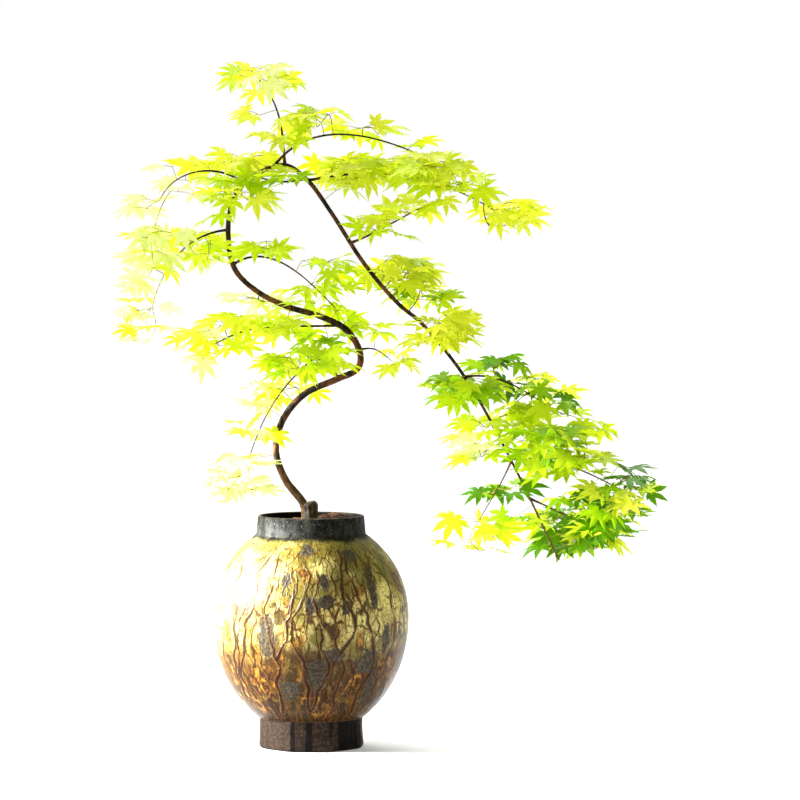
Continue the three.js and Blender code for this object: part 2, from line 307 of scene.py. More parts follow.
trunkShape = {
    "knots": [
        (-4, 0, 239), (-8, 0, 256), (-27, 3, 281), (-37, 6, 311), (-30, 6, 343), (-7, 1, 371),
        (27, -5, 387), (49, -7, 398), (52, -6, 413), (38, -2, 438), (9, 4, 453), (-25, 9, 463),
        (-57, 12, 479), (-80, 12, 502), (-87, 10, 540), (-82, 6, 573), (-66, 2, 596), (-27, -3, 611),
        (-3, -6, 595), (20, -9, 564), (57, -12, 507), (92, -14, 466), (116, -15, 446), (161, -16, 390),
        (209, -18, 304), (260, -20, 198),
    ],
    "radii": [
        (-0.2, 8.5), (0.1, 6.2), (0.5, 4.9), (1, 4.3), (3, 3.5), (6, 3.5), (9, 3.4), (12, 2.9),
        (15, 2.5), (18, 2.3), (22, 2.1), (25, 0.9),
    ],
    "start": -0.25,  # in knots, a little below the soil
    "points": 700,
    "step": 1.6,  # between the points of a bough
}

boughShapes = {
    "leader": dict(at=17, tip=(-54, 6, 700), leave=94, arrive=132, radii=(1.4, 0.6)),
    "bough_top_right": dict(at=16.7, tip=(150, -30, 603), leave=54, arrive=-30, radii=(1.3, 0.6)),
    "bough_mid_right": dict(at=18, tip=(196, 22, 562), leave=12, arrive=-32, radii=(1.3, 0.6)),
    "bough_low_right": dict(at=19.6, tip=(134, -30, 574), leave=20, arrive=20, radii=(1.2, 0.6)),
    "bough_left_top": dict(at=17.9, tip=(-92, 26, 615), leave=195, arrive=156, radii=(1.2, 0.6)),
    "bough_left_long": dict(at=15.8, tip=(-156, -24, 576), leave=140, arrive=246, radii=(1.3, 0.6)),
    "bough_left_mid": dict(at=14.1, tip=(-168, 22, 462), leave=184, arrive=256, radii=(1.2, 0.5)),
    "bough_loop": dict(at=13.15, tip=(26, -20, 462), leave=34, arrive=-46, radii=(1.2, 0.6)),
    "bough_low_left": dict(at=9.3, tip=(-100, -26, 424), leave=184, arrive=212, radii=(1.3, 0.6)),
    "bough_right_twig": dict(at=8.2, tip=(84, 20, 406), leave=14, arrive=-40, radii=(0.9, 0.5)),
    "bough_hang": dict(at=6.1, tip=(-2, -22, 405), leave=118, arrive=222, radii=(1.3, 0.9)),
    "bough_hang_drop": dict(on="bough_hang", tip=(-66, -32, 298), leave=222, arrive=254, radii=(0.9, 0.5)),
    "bough_cascade_out": dict(at=23, tip=(264, 12, 350), leave=8, arrive=-28, radii=(1.1, 0.5)),
    "bough_cascade_mid": dict(at=24, tip=(330, -44, 270), leave=4, arrive=-28, radii=(1.2, 0.6)),
    "bough_cascade_low": dict(at=24.4, tip=(326, 14, 216), leave=-24, arrive=-22, radii=(1.0, 0.5)),
    "bough_cascade_drop": dict(at=24.02, tip=(176, -44, 242), leave=246, arrive=240, radii=(0.8, 0.5)),
}


boughRules = {
    "forkAt": 0.985,  # where on its parent a bough of a bough starts
    "reach": 0.38,  # how far the two given directions hold, as a share of the bough's length
    "collar": 0.9,  # how much wider a bough is where it leaves the trunk
    "collarPoints": 3,
}


def throughKnots(knots, at):
    # Centripetal Catmull-Rom, at knot number `at`.
    last = len(knots) - 1
    span = max(0, min(int(math.floor(at)), last - 1))
    p1, p2 = Vector(knots[span]), Vector(knots[span + 1])
    p0 = Vector(knots[span - 1]) if span else 2 * p1 - p2
    p3 = Vector(knots[span + 2]) if span + 2 <= last else 2 * p2 - p1
    d0, d1, d2 = (max((b - a).length, 1e-6) ** 0.5 for a, b in ((p0, p1), (p1, p2), (p2, p3)))
    m1 = ((p1 - p0) / d0 - (p2 - p0) / (d0 + d1) + (p2 - p1) / d1) * d1
    m2 = ((p2 - p1) / d1 - (p3 - p1) / (d1 + d2) + (p3 - p2) / d2) * d1
    t = at - span
    return p1 + m1 * t + (3 * (p2 - p1) - 2 * m1 - m2) * t * t + (2 * (p1 - p2) + m1 + m2) * t ** 3


def inPlane(degrees):
    return Vector((math.cos(math.radians(degrees)), 0, math.sin(math.radians(degrees))))


def boughPoint(shape, t):
    if "on" in shape:
        start = boughPoint(boughShapes[shape["on"]], boughRules["forkAt"])
    else:
        start = throughKnots(trunkShape["knots"], shape["at"])
    end = Vector(shape["tip"])
    reach = boughRules["reach"] * (end - start).length
    sway = Vector((0, (end.y - start.y) / 3, 0))
    out = start + inPlane(shape["leave"]) * reach + sway
    back = end - inPlane(shape["arrive"]) * reach - sway
    return start * (1 - t) ** 3 + out * 3 * t * (1 - t) ** 2 + back * 3 * t * t * (1 - t) + end * t ** 3


def limbLines():
    # One line of (point, radius) for the trunk and for each bough, in millimetres.
    knots = trunkShape["knots"]
    marks, radii = zip(*trunkShape["radii"])
    ats = np.linspace(trunkShape["start"], len(knots) - 1, trunkShape["points"])
    lines = {"trunk": [(throughKnots(knots, at), float(np.interp(at, marks, radii))) for at in ats]}
    for name, shape in boughShapes.items():
        count = max(12, round((Vector(shape["tip"]) - boughPoint(shape, 0)).length / trunkShape["step"]))
        first, last = shape["radii"]
        widen, line = boughRules["collar"], []
        for i in range(count + 1):
            t = i / count
            collar = 0 if "on" in shape else widen * math.exp(-t * count / boughRules["collarPoints"])
            line.append((boughPoint(shape, t), first + (last - first) * t + collar))
        lines[name] = line
    return lines


limbs = limbLines()


def lineHost(name, lines):
    # A mesh of separate open lines, each point with its thickness, for the limb tree.
    verts, edges, radii = [], [], []
    for line in lines:
        first = len(verts)
        verts += [point * mm for point, radius in line]
        radii += [radius * mm for point, radius in line]
        edges += [(i, i + 1) for i in range(first, len(verts) - 1)]
    return meshObject(name, verts, [], edges, {"thickness": ("FLOAT", radii)}, smooth=False)


def limbTree():
    # Lines to round limbs: a tube of each point's thickness, with bark relief that stands on it.
    tree, given = geometryTree("growLimbs", {
        "Sides": "Int", "Relief": "Float", "Relief scale": "Float", "Seed": "Float", "Material": "Material",
    })
    lines = fromNode(tree, "GeometryNodeMeshToCurve", {"Mesh": given["Geometry"]}, out="Curve")
    thickness = namedAttribute(tree, "thickness", "FLOAT")
    sized = fromNode(tree, "GeometryNodeSetCurveRadius", {"Curve": lines, "Radius": thickness})
    ring = fromNode(tree, "GeometryNodeCurvePrimitiveCircle", {"Resolution": given["Sides"], "Radius": 1.0})
    tube = addNode(tree, "GeometryNodeCurveToMesh", {"Curve": sized, "Profile Curve": ring, "Fill Caps": True})
    if "Scale" in tube.inputs:  # where a tube takes its width from this socket and not from the curve
        tree.links.new(thickness, tube.inputs["Scale"])
    position = fromNode(tree, "GeometryNodeInputPosition")

    def rough(scale, detail, roughness):
        return centred(tree, fromNode(tree, "ShaderNodeTexNoise", {
            "Vector": position, "W": given["Seed"], "Scale": scale, "Detail": detail, "Roughness": roughness,
        }, noise_dimensions="4D"))

    ridges = rough(given["Relief scale"], 3.0, 0.6)
    cracks = rough(mathNode(tree, "MULTIPLY", given["Relief scale"], 3.7), 2.0, 0.5)
    both = mathNode(tree, "ADD", ridges, mathNode(tree, "MULTIPLY", cracks, 0.45))
    height = mathNode(tree, "MULTIPLY", mathNode(tree, "MULTIPLY", both, given["Relief"]), thickness)
    normal = fromNode(tree, "GeometryNodeInputNormal")
    offset = fromNode(tree, "ShaderNodeVectorMath", {0: normal, "Scale": height}, operation="SCALE")
    raised = fromNode(tree, "GeometryNodeSetPosition", {"Geometry": tube.outputs[0], "Offset": offset})
    smooth = fromNode(tree, "GeometryNodeSetShadeSmooth", {"Geometry": raised})
    finishTree(tree, smooth, given["Material"])
    return tree


growLimbs = limbTree()


limbRelief = {  # sides of the tube, height of the bark as a share of the radius, its scale and its seed
    "trunkAndBoughs": (20, 0.32, 210.0, 3.0),
    "twigs": (6, 0.2, 500.0, 8.0),
    "leafStalks": (5, 0.0, 500.0, 0.0),
    "rootFibres": (5, 0.2, 900.0, 1.0),
    "moss": (6, 0.9, 900.0, 2.0),
}


def growLines(name, lines, material):
    values = dict(zip(("Sides", "Relief", "Relief scale", "Seed"), limbRelief[name]), Material=material)
    return grow(lineHost(name + "Lines", lines), growLimbs, values, name)


barkFinish = {
    "dark": rgb(17, 10, 6),
    "light": rgb(118, 70, 34),
    "foot": rgb(116, 84, 45),
    "footTop": 320 * mm,  # above this the trunk has its darker bark
    "young": rgb(168, 150, 92),
    "youngFrom": -112 * mm,  # beyond this X the boughs are young and still pale
    "shadedUpright": (-90 * mm, 0, 552 * mm),  # the middle of the trunk's upright length, painted nearly black as shade under the crown
}


def barkMaterial():
    f = barkFinish
    material, tree, coords = newMaterial("mapleBark")
    stretched = fromNode(tree, "ShaderNodeMapping", {"Vector": coords, "Scale": (1, 1, 0.45)})
    patches = noiseNode(tree, stretched, 260.0, 5.0, 0.65)
    # Wide blotches of dark and brown bark: partly the bark's own tone, partly painted light and shade for lit
    # and shaded lengths of the trunk.
    wideToneAndShade = noiseNode(tree, coords, 46.0, 2.0)
    halves = [mathNode(tree, "MULTIPLY", part, 0.5) for part in (patches, wideToneAndShade)]
    blotches = mathNode(tree, "ADD", *halves)
    base = ramp(tree, blotches, [(0.47, f["dark"]), (0.63, f["light"])])
    # Painted shade: the trunk's upright length under the crown is darkened nearly to black.
    away = vectorMath(tree, "DISTANCE", coords, f["shadedUpright"], out="Value")
    upright = ramp(tree, away, [(30 * mm, 0.75), (70 * mm, 0.0)])
    base = mixColor(tree, upright, base, f["dark"])
    axes = addNode(tree, "ShaderNodeSeparateXYZ", {"Vector": coords}).outputs
    young = mapped(tree, axes["X"], f["youngFrom"], f["youngFrom"] - 45 * mm, 0.0, 0.85)
    nearFoot = mapped(tree, axes["Z"], 236 * mm, f["footTop"], 0.75, 0.0)
    speckle = noiseNode(tree, coords, 420.0, 4.0)
    tan = mathNode(tree, "MULTIPLY", nearFoot, ramp(tree, speckle, [(0.35, 0.25), (0.6, 1.0)]))
    color = mixColor(tree, tan, base, f["foot"])
    color = mixColor(tree, young, color, f["young"])
    paint(tree, {
        "Base Color": color, "Roughness": 0.62, "Normal": bumpNode(tree, patches, 0.6, 0.0006),
        "Specular IOR Level": 0.18,
    })
    return material


trunkAndBoughs = growLines("trunkAndBoughs", limbs.values(), barkMaterial())
limbNodes = [name for name in frame["nodes"] if name.startswith(("trunk", "cascade", "bough", "leader"))]
place(trunkAndBoughs, "bark", *limbNodes)
print("trunk and boughs:", triangles(trunkAndBoughs), "triangles")


# Sprays: each mass of leaves is a set of twig joints that grow on from the nearest limb. A row has the
# mass's centre, its half sizes along, across and up, all in millimetres, its tilt in degrees, its shades
# by share, and how far apart its joints are.

massShapes = {
    "leaves_crown_tip": (-52, 4, 700, 43, 46, 20, -5, "cream yellow lime", 0.92),
    "leaves_leader": (-24, -4, 649, 29, 48, 26, 0, "yellow yellowLime yellow", 1.45),
    "leaves_top_right_near": (10, -30, 656, 34, 46, 18, 0, "yellowLime yellow lime", 1.1),
    "leaves_top_right_mid": (58, 20, 645, 36, 48, 16, -8, "yellowLime yellow lime", 1.3),
    "leaves_top_right_tip": (127, -28, 604, 54, 54, 25, -22, "yellow yellowLime", 0.9),
    "leaves_mid_right": (46, 18, 604, 60, 58, 22, 0, "yellow yellow yellowLime", 0.94),
    "leaves_mid_right_tip": (204, 18, 560, 38, 46, 23, -15, "yellow yellow yellowLime", 1.05),
    "leaves_low_right": (104, -30, 561, 64, 46, 9, 20, "yellow yellow yellowLime", 1.1),
    "leaves_shoulder": (91, 10, 497, 52, 56, 23, -15, "yellow yellow yellowLime", 0.92),
    "leaves_shoulder_low": (136, -34, 439, 38, 48, 28, -25, "yellow", 0.9),
    "leaves_cascade_top": (197, 12, 402, 32, 42, 16, 5, "deep fresh", 0.92),
    "leaves_cascade_out": (243, 14, 365, 62, 54, 24, -28, "fresh yellowLime lime deep yellow", 1.25),
    "leaves_cascade_inner": (162, -26, 381, 41, 48, 24, 0, "fresh lime fresh yellowLime", 1.05),
    "leaves_cascade_inner_low": (178, -36, 323, 37, 46, 31, 0, "yellowLime cream lime", 1.1),
    "leaves_cascade_mid": (258, -36, 312, 64, 54, 33, -18, "fresh yellowLime lime yellowLime", 1),
    "leaves_cascade_far": (315, -38, 257, 38, 46, 40, -25, "yellow deep yellowLime fresh deep", 0.95),
    "leaves_cascade_low": (281, 14, 226, 71, 56, 31, -8, "deep fresh yellow deep lime", 1.0),
    "leaves_cascade_drop": (175, -42, 227, 41, 44, 31, 24, "fresh yellowLime cream lime", 1.36),
    "leaves_left_top": (-86, 26, 613, 58, 56, 19, 3, "yellow yellow yellowLime", 1.1),
    "leaves_left_top_out": (-143, -22, 590, 34, 44, 28, 10, "cream yellowLime cream", 1.75),
    "leaves_left_under": (-72, -26, 578, 43, 46, 18, 0, "yellow yellowLime lime", 0.96),
    "leaves_left_mid": (-118, 30, 523, 40, 50, 26, 8, "yellowLime cream yellowLime", 1.08),
    "leaves_left_mid_out": (-167, -4, 512, 30, 46, 36, 0, "cream yellowLime cream cream", 1.1),
    "leaves_left_drop": (-174, 22, 450, 28, 40, 37, 0, "cream cream yellowLime", 1.22),
    "leaves_loop_top": (-48, -22, 525, 40, 46, 18, -5, "yellowLime lime", 1.18),
    "leaves_loop_tip": (14, -18, 486, 44, 48, 34, -28, "lime yellowLime", 1.5),
    "leaves_short_left": (-60, 34, 468, 29, 40, 13, 0, "yellowLime cream", 0.88),
    "leaves_low_left_tip": (-101, -26, 427, 50, 52, 30, 15, "yellowLime cream yellow", 1.28),
    "leaves_low_left_near": (-30, 32, 438, 38, 48, 18, 0, "lime yellowLime", 1.02),
    "leaves_right_twig": (89, 16, 404, 34, 38, 16, -40, "yellowLime yellow", 1.7),
    "leaves_mid_pad": (-6, -28, 406, 58, 52, 19, 5, "yellowLime lime yellow fresh", 0.95),
    "leaves_hang_top": (-35, 28, 372, 46, 48, 19, 5, "yellowLime yellow cream", 1.1),
    "leaves_hang_mid": (-55, -30, 336, 33, 42, 21, 20, "yellowLime cream", 1.35),
    "leaves_hang_tip": (-76, -28, 287, 44, 44, 34, 20, "cream", 1.1),
}

# Smaller sprays that fill the crown between the masses, in the same way.
betweenShapes = {
    "archCover": (-43, -20, 604, 42, 26, 16, 0, "yellow yellowLime lime", 0.95),
    "archLeft": (-84, -12, 594, 26, 26, 13, 10, "yellowLime lime", 1.0),
    "leaderRight": (-2, -8, 638, 30, 28, 11, 0, "yellowLime lime", 1.0),
    "lowRightStart": (66, -18, 540, 24, 26, 11, 20, "lime yellowLime", 0.9),
    "shoulderJoin": (117, 4, 471, 44, 36, 14, -25, "lime yellowLime fresh", 0.9),
    "underOut": (208, 8, 345, 38, 34, 20, -10, "yellowLime yellow lime", 0.9),
    "dropTop": (196, -26, 270, 30, 28, 12, 0, "deep fresh", 0.95),
    "midToLow": (264, -12, 262, 32, 34, 14, -15, "fresh deep lime yellowLime", 1.0),
    "hangLow": (-91, -20, 268, 30, 34, 15, 0, "cream", 1.1),
    "hangJoin": (-46, -2, 356, 30, 28, 12, 0, "yellow cream", 1.0),
    "overTrunk": (-57, -20, 446, 66, 28, 17, 0, "yellowLime lime yellow", 1.0),
    "overBend": (48, 10, 441, 44, 26, 12, -10, "lime yellowLime", 0.9),
    "underBend": (14, -16, 426, 36, 26, 11, 0, "lime fresh", 1.0),
    "topRightJoin": (104, 10, 630, 34, 30, 12, -25, "yellowLime lime", 1.3),
    "midRightJoin": (160, -4, 585, 34, 36, 15, -20, "yellowLime yellow", 1.0),
    "leaderLeft": (-50, 0, 664, 24, 26, 13, 0, "yellow yellowLime", 1.0),
    "loopLeaf": (-9, -10, 506, 20, 22, 13, 0, "fresh deep lime", 1.0),
    "outEnd": (288, 4, 338, 34, 26, 12, -10, "yellowLime lime fresh", 1.0),
    "overNear": (12, 12, 457, 38, 26, 10, 0, "lime yellowLime", 1.0),
    "hangSide": (-49, -6, 304, 22, 24, 9, 0, "yellow yellowLime", 1.0),
    "crownUnder": (27, -18, 579, 16, 20, 10, 0, "yellow cream", 1.0),
    "archUnder": (-20, -14, 591, 24, 24, 9, 0, "lime fresh", 1.0),
    "overUpright": (-93, -14, 556, 13, 18, 8, 0, "lime", 1.0),
    "farTip": (337, -20, 263, 17, 22, 10, -20, "yellow deep", 1.0),
    "farTop": (320, -28, 292, 18, 22, 9, 10, "deep fresh", 1.0),
    "lowLeft": (208, -20, 241, 17, 22, 8, 0, "deep fresh", 1.0),
    "weepTip": (-171, -10, 562, 15, 20, 8, 0, "cream", 1.0),
    "weepLeft": (-158, -16, 572, 15, 20, 12, 0, "cream", 1.0),
    "dropJoin": (-176, 0, 481, 20, 24, 12, 0, "cream", 1.0),
    "leftMidJoin": (-146, 10, 537, 26, 34, 18, 0, "cream yellowLime", 1.1),
}

spraySizes = {
    "seed": 11,
    "jointSpacing": 17.5,  # least distance between two joints of the twigs
    "layerStretch": 1.5,  # how much closer two joints may be one above the other
    "leafReach": (25, 16, 8),  # how far leaves reach beyond the joints, so joints stay this far inside
    "lift": 2,  # the joints sit this much high in the mass, because leaves hang
    "reuse": 0.35,  # how much a twig prefers to start near the limb over the nearest twig
    "attachWithin": 75,  # how far from a mass's middle its twigs may leave the wood
    "attempts": 900,
    "leastHalf": 0.4,  # what is left of a mass's half size where leaves reach over more of it
    "twigRadius": (0.36, 0.11),  # at a tip, and added per square root of the joints beyond
    "petiole": (11, 20),  # length of a leaf stalk
    "petioleRadius": 0.28,
    "bladeLength": (22, 31),  # middle lobe
    "pairTurns": [66, -66],  # degrees from the twig's heading, at a joint
    "tipTurns": [[34, -34], [48, 0, -48], [40, -40]],
    "turnSpread": 16,
    "rise": (-0.15, 0.45),
    "sag": 0.007,  # how far a stalk hangs, times its length squared
    "lightSpread": 38,  # degrees that the way to the light varies by
    "tilt": (17, 25),  # degrees that a blade leans out of the crown to the light, mean and spread
    "oddLeaf": 0.2,  # share of the leaves that have another shade than their spray
}

chance = random.Random()


def massAxes(tilt):
    along = inPlane(tilt)
    return along, Vector((0, 1, 0)), Vector((-along.z, 0, along.x))


def scatterJoints(shape):
    # Joints keep their distance from each other inside the mass, drawn in by what the leaves reach.
    centre, axes = Vector(shape[:3]) + Vector((0, 0, spraySizes["lift"])), massAxes(shape[6])
    halves = [max(half - reach, spraySizes["leastHalf"] * half)
              for half, reach in zip(shape[3:6], spraySizes["leafReach"])]
    joints = []
    for attempt in range(spraySizes["attempts"]):
        share = Vector([chance.uniform(-1, 1) for axis in range(3)])
        if share.length > 1:
            continue
        offset = [s * half for s, half in zip(share, halves)]
        stretched = Vector((offset[0], offset[1], offset[2] * spraySizes["layerStretch"]))
        if all((stretched - other).length > spraySizes["jointSpacing"] * shape[8] for other, point in joints):
            joints.append((stretched, centre + sum((axis * o for axis, o in zip(axes, offset)), Vector())))
    return [point for stretched, point in joints]


woodPoints = [point for line in limbs.values() for point, radius in line[::3]]


def growTwigs(joints):
    # Joins each joint to the wood or to an earlier joint, whichever is the shortest way for the sap.
    centre = sum(joints, Vector()) / len(joints)
    near = sorted(woodPoints, key=lambda p: (p - centre).length)
    within = [p for p in near if (p - centre).length < spraySizes["attachWithin"]] or near[:1]
    grown = [dict(point=p, parent=None, way=0.0) for p in within]
    left = list(joints)
    while left:
        best = None
        for joint in left:
            for number, source in enumerate(grown):
                step = (joint - source["point"]).length
                cost = step + spraySizes["reuse"] * source["way"]
                if best is None or cost < best[0]:
                    best = (cost, joint, number, step)
        cost, joint, number, step = best
        left.remove(joint)
        grown.append(dict(point=joint, parent=number, way=grown[number]["way"] + step))
    return grown


def smoothLine(points, radii, steps=5):
    ats = [i / steps for i in range((len(points) - 1) * steps + 1)]
    return [(throughKnots(points, at), float(np.interp(at, range(len(radii)), radii))) for at in ats]


def twigLines(grown):
    # The twigs as smooth lines, each from the wood or a fork to its tip.
    children = {number: [] for number in range(len(grown))}
    beyond = [0] * len(grown)
    for number in range(len(grown) - 1, -1, -1):
        parent = grown[number]["parent"]
        if parent is not None:
            children[parent].append(number)
            beyond[parent] += beyond[number] + 1
    lines = []

    def follow(path):
        number = path[-1]
        ahead = sorted(children[number], key=lambda child: -beyond[child])
        if grown[number]["parent"] is None and len(path) == 1:
            for child in ahead:
                follow([number, child])
            return
        for side in ahead[1:]:
            follow([number, side])
        if ahead:
            follow(path + [ahead[0]])
            return
        points = [grown[n]["point"] for n in path]
        base, more = spraySizes["twigRadius"]
        radii = [base + more * math.sqrt(beyond[n]) for n in path]
        radii[0] = radii[1]
        lines.append(smoothLine(points, radii))

    for number, joint in enumerate(grown):
        if joint["parent"] is None and children[number]:
            follow([number])
    return lines, children


def hangLeaves(grown, children, shades, leaves, petioles):
    # Opposite pairs at each joint and a spread of two or three at each tip, on drooping stalks.
    sizes = spraySizes
    for number, joint in enumerate(grown):
        if joint["parent"] is None:
            continue
        shade = chance.choice(shades)
        heading = joint["point"] - grown[joint["parent"]]["point"]
        azimuth = math.degrees(math.atan2(heading.y, heading.x))
        turns = sizes["pairTurns"] if children[number] else chance.choice(sizes["tipTurns"])
        for turn in turns:
            toward = math.radians(azimuth + turn + chance.uniform(-sizes["turnSpread"], sizes["turnSpread"]))
            stalk = chance.uniform(*sizes["petiole"])
            out = Vector((math.cos(toward), math.sin(toward), chance.uniform(*sizes["rise"]))).normalized()
            base = joint["point"] + out * stalk - Vector((0, 0, sizes["sag"] * stalk * stalk))
            bend = joint["point"] + out * stalk * 0.55
            radius = sizes["petioleRadius"]
            petioles.append([(joint["point"], radius * 1.3), (bend, radius), (base, radius)])
            side = 1 if base.y > 0 else -1
            light = math.radians(90 * side + chance.gauss(0, sizes["lightSpread"]))
            lean = math.radians(chance.gauss(*sizes["tilt"]))
            droop = max(-0.3, lean * math.cos(light - toward) + math.radians(chance.uniform(-8, 12)))
            roll = -lean * math.sin(light - toward) + math.radians(chance.gauss(0, 8))
            size = chance.uniform(*sizes["bladeLength"])
            own = chance.choice(shades) if chance.random() < sizes["oddLeaf"] else shade
            leaves.append((base, (roll, droop, toward), size, own))


# A thin twig that hangs free of the sprays, and the bare hooked end of an old one: places and radii.
# Millimetres.
looseTwigs = {
    "weepingLeft": [
        (-142, -20, 588, 0.5), (-150, -18, 578, 0.5), (-158, -14, 562, 0.42), (-163, -10, 546, 0.36),
    ],
    "hookedEnd": [
        (179, -6, 599, 0.9), (182, -7, 598, 0.7), (183, -8, 590, 0.6), (182, -9, 580, 0.6),
        (181, -9, 566, 0.7), (183, -8, 555, 0.8), (189, -7, 545, 1.0),
    ],
}

shadeNames = ["cream", "yellow", "yellowLime", "lime", "fresh", "deep"]
allLeaves, allPetioles, allTwigs = [], [], []
for number, shape in enumerate([*massShapes.values(), *betweenShapes.values()]):
    chance.seed(spraySizes["seed"] + number)
    joints = scatterJoints(shape)
    grown = growTwigs(joints)
    lines, children = twigLines(grown)
    allTwigs += lines
    hangLeaves(grown, children, shape[7].split(), allLeaves, allPetioles)
for points in looseTwigs.values():
    allTwigs.append(smoothLine([Vector(point[:3]) for point in points], [point[3] for point in points]))
print("sprays:", len(allLeaves), "leaves on", len(allTwigs), "twigs")


# Leaf blade: lobes that spread from the stalk, each with a folded midrib, toothed edges and a long point.

leafShape = {
    "seed": 5,
    "variants": 6,
    # each lobe's direction in degrees, and its length
    "lobes": [(0, 1.0), (41, 0.93), (-41, 0.93), (82, 0.7), (-82, 0.7), (124, 0.34), (-124, 0.34)],
    "sinus": 0.33,  # how far the blade is whole
    "halfWidth": 0.146,
    # the toothed edge of a lobe: how far along, and how far out
    "edge": [(0.46, 0.86), (0.54, 1.0), (0.57, 0.87), (0.67, 0.8), (0.7, 0.62), (0.8, 0.46), (0.83, 0.32)],
    "rib": (0.34, 0.54, 0.7, 0.84),  # points along a midrib
    "heel": (34, 0.13),  # where the blade ends beside the stalk: degrees past the last lobe, and how far out
    "fold": 0.35,
    "curl": (0.0, 0.28),
    "shade": (0.85, 0.89, 0.7),  # red, green and blue that the mottles and ribs keep
    "through": 0.56,  # share of the light that a blade lets through
}


def leafBlade(number):
    rng = random.Random(leafShape["seed"] * 100 + number)
    curl = rng.uniform(*leafShape["curl"])
    fold = leafShape["fold"] * rng.uniform(0.5, 1.4)
    lobes = sorted((angle + rng.uniform(-4, 4), length * rng.uniform(0.93, 1.05))
                   for angle, length in leafShape["lobes"])
    verts, faces, veins = [(0, 0, 0)], [], [0.0]

    def put(angle, along, aside, length):
        a = math.radians(angle)
        x = along * length * math.cos(a) - aside * math.sin(a)
        y = along * length * math.sin(a) + aside * math.cos(a)
        reach = math.hypot(x, y)
        wave = 0.02 * math.sin(7 * x + 3 * number)
        z = -curl * reach * reach * (1 + 0.5 * abs(math.sin(a))) + fold * abs(aside) + wave
        verts.append((x, y, z))
        veins.append(1.0)
        return len(verts) - 1

    bays = []
    for first, second in zip(lobes, lobes[1:]):
        between = (first[0] + second[0]) / 2
        bays.append(put(between, leafShape["sinus"] * min(1, 1.6 * min(first[1], second[1])), 0, 1))
    past, out = leafShape["heel"]
    heel = [put(lobes[0][0] - past, out, 0, 1), put(lobes[-1][0] + past, out, 0, 1)]
    for index, (angle, length) in enumerate(lobes):
        before = bays[index - 1] if index else heel[0]
        after = bays[index] if index < len(bays) else heel[1]
        width = leafShape["halfWidth"] * (0.45 + 0.55 * length)
        rib = [put(angle, at, 0, length) for at in leafShape["rib"]]
        tip = put(angle, 1, 0, length)
        for point in (*rib, tip):
            veins[point] = 0.0
        for bay, side in ((before, -1), (after, 1)):
            rim = [put(angle, at, side * out * width, length) for at, out in leafShape["edge"]]
            strips = [
                (0, rib[0], bay),
                (rib[0], rib[1], rim[1], rim[0], bay),
                (rib[1], rib[2], rim[3], rim[2], rim[1]),
                (rib[2], rib[3], rim[5], rim[4], rim[3]),
                (rib[3], tip, rim[6], rim[5]),
            ]
            faces += [strip if side < 0 else strip[::-1] for strip in strips]
    return verts, [face[::-1] for face in faces], veins


leafColors = {
    # cream: a pale shade, dealt mostly to the sprays on the left; partly the leaves' own pale colour, partly
    # painted light for the wash of the strong light from that side
    "cream": (rgb(232, 238, 150), rgb(238, 244, 178)),
    "yellow": (rgb(228, 235, 62), rgb(240, 244, 66)),
    "yellowLime": (rgb(210, 229, 36), rgb(227, 242, 38)),
    "lime": (rgb(192, 219, 26), rgb(216, 238, 28)),
    "fresh": (rgb(137, 182, 12), rgb(174, 215, 16)),
    "deep": (rgb(62, 112, 5), rgb(106, 162, 10)),
}


def leafMaterial(shade):
    material, tree, coords = newMaterial("leaf" + shade[0].upper() + shade[1:])
    fromRib = fromNode(tree, "ShaderNodeAttribute", out="Fac", attribute_name="vein")
    mottle = noiseNode(tree, coords, 130.0, 3.0)

    def veined(color, mottled, rib):
        # One colour, darker in the mottles and along the ribs.
        darker = (*[channel * part for channel, part in zip(color, leafShape["shade"])], 1)
        color = mixColor(tree, ramp(tree, mottle, [(0.48, 0.0), (0.72, mottled)]), color, darker)
        return mixColor(tree, ramp(tree, fromRib, rib), color, darker)

    surface, glow = leafColors[shade]
    skin = fromNode(tree, "ShaderNodeBsdfPrincipled", {
        "Base Color": veined(surface, 0.6, [(0.06, 0.55), (0.16, 0.0)]), "Roughness": 0.48,
        "Specular IOR Level": 0.18,
    })
    lit = veined(glow, 0.5, [(0.05, 0.6), (0.2, 0.0)])
    through = fromNode(tree, "ShaderNodeBsdfTranslucent", {"Color": lit})
    both = fromNode(tree, "ShaderNodeMixShader", {"Fac": leafShape["through"], 1: skin, 2: through})
    finishMaterial(tree, both)
    return material


def leafTree(materials):
    # A leaf on each point, turned, sized and chosen by the point's own attributes.
    tree, given = geometryTree("hangLeaves", {"Leaf shapes": "Collection", "Blade scale": "Float"})
    shapes = fromNode(tree, "GeometryNodeCollectionInfo", {
        "Collection": given["Leaf shapes"], "Separate Children": True, "Reset Children": True,
    })
    turn = fromNode(tree, "FunctionNodeEulerToRotation", {0: namedAttribute(tree, "turn", "FLOAT_VECTOR")})
    scale = mathNode(tree, "MULTIPLY", namedAttribute(tree, "size", "FLOAT"), given["Blade scale"])
    leaves = fromNode(tree, "GeometryNodeInstanceOnPoints", {
        "Points": given["Geometry"], "Instance": shapes, "Pick Instance": True,
        "Instance Index": namedAttribute(tree, "variant", "INT"), "Rotation": turn, "Scale": scale,
    })
    real = fromNode(tree, "GeometryNodeRealizeInstances", {"Geometry": leaves})
    shade = namedAttribute(tree, "shade", "INT")
    for number, material in enumerate(materials):
        chosen = compared(tree, "INT", "EQUAL", {2: shade, 3: number})
        real = fromNode(tree, "GeometryNodeSetMaterial", {
            "Geometry": real, "Selection": chosen, "Material": material,
        })
    addNode(tree, "NodeGroupOutput", {"Geometry": real})
    return tree


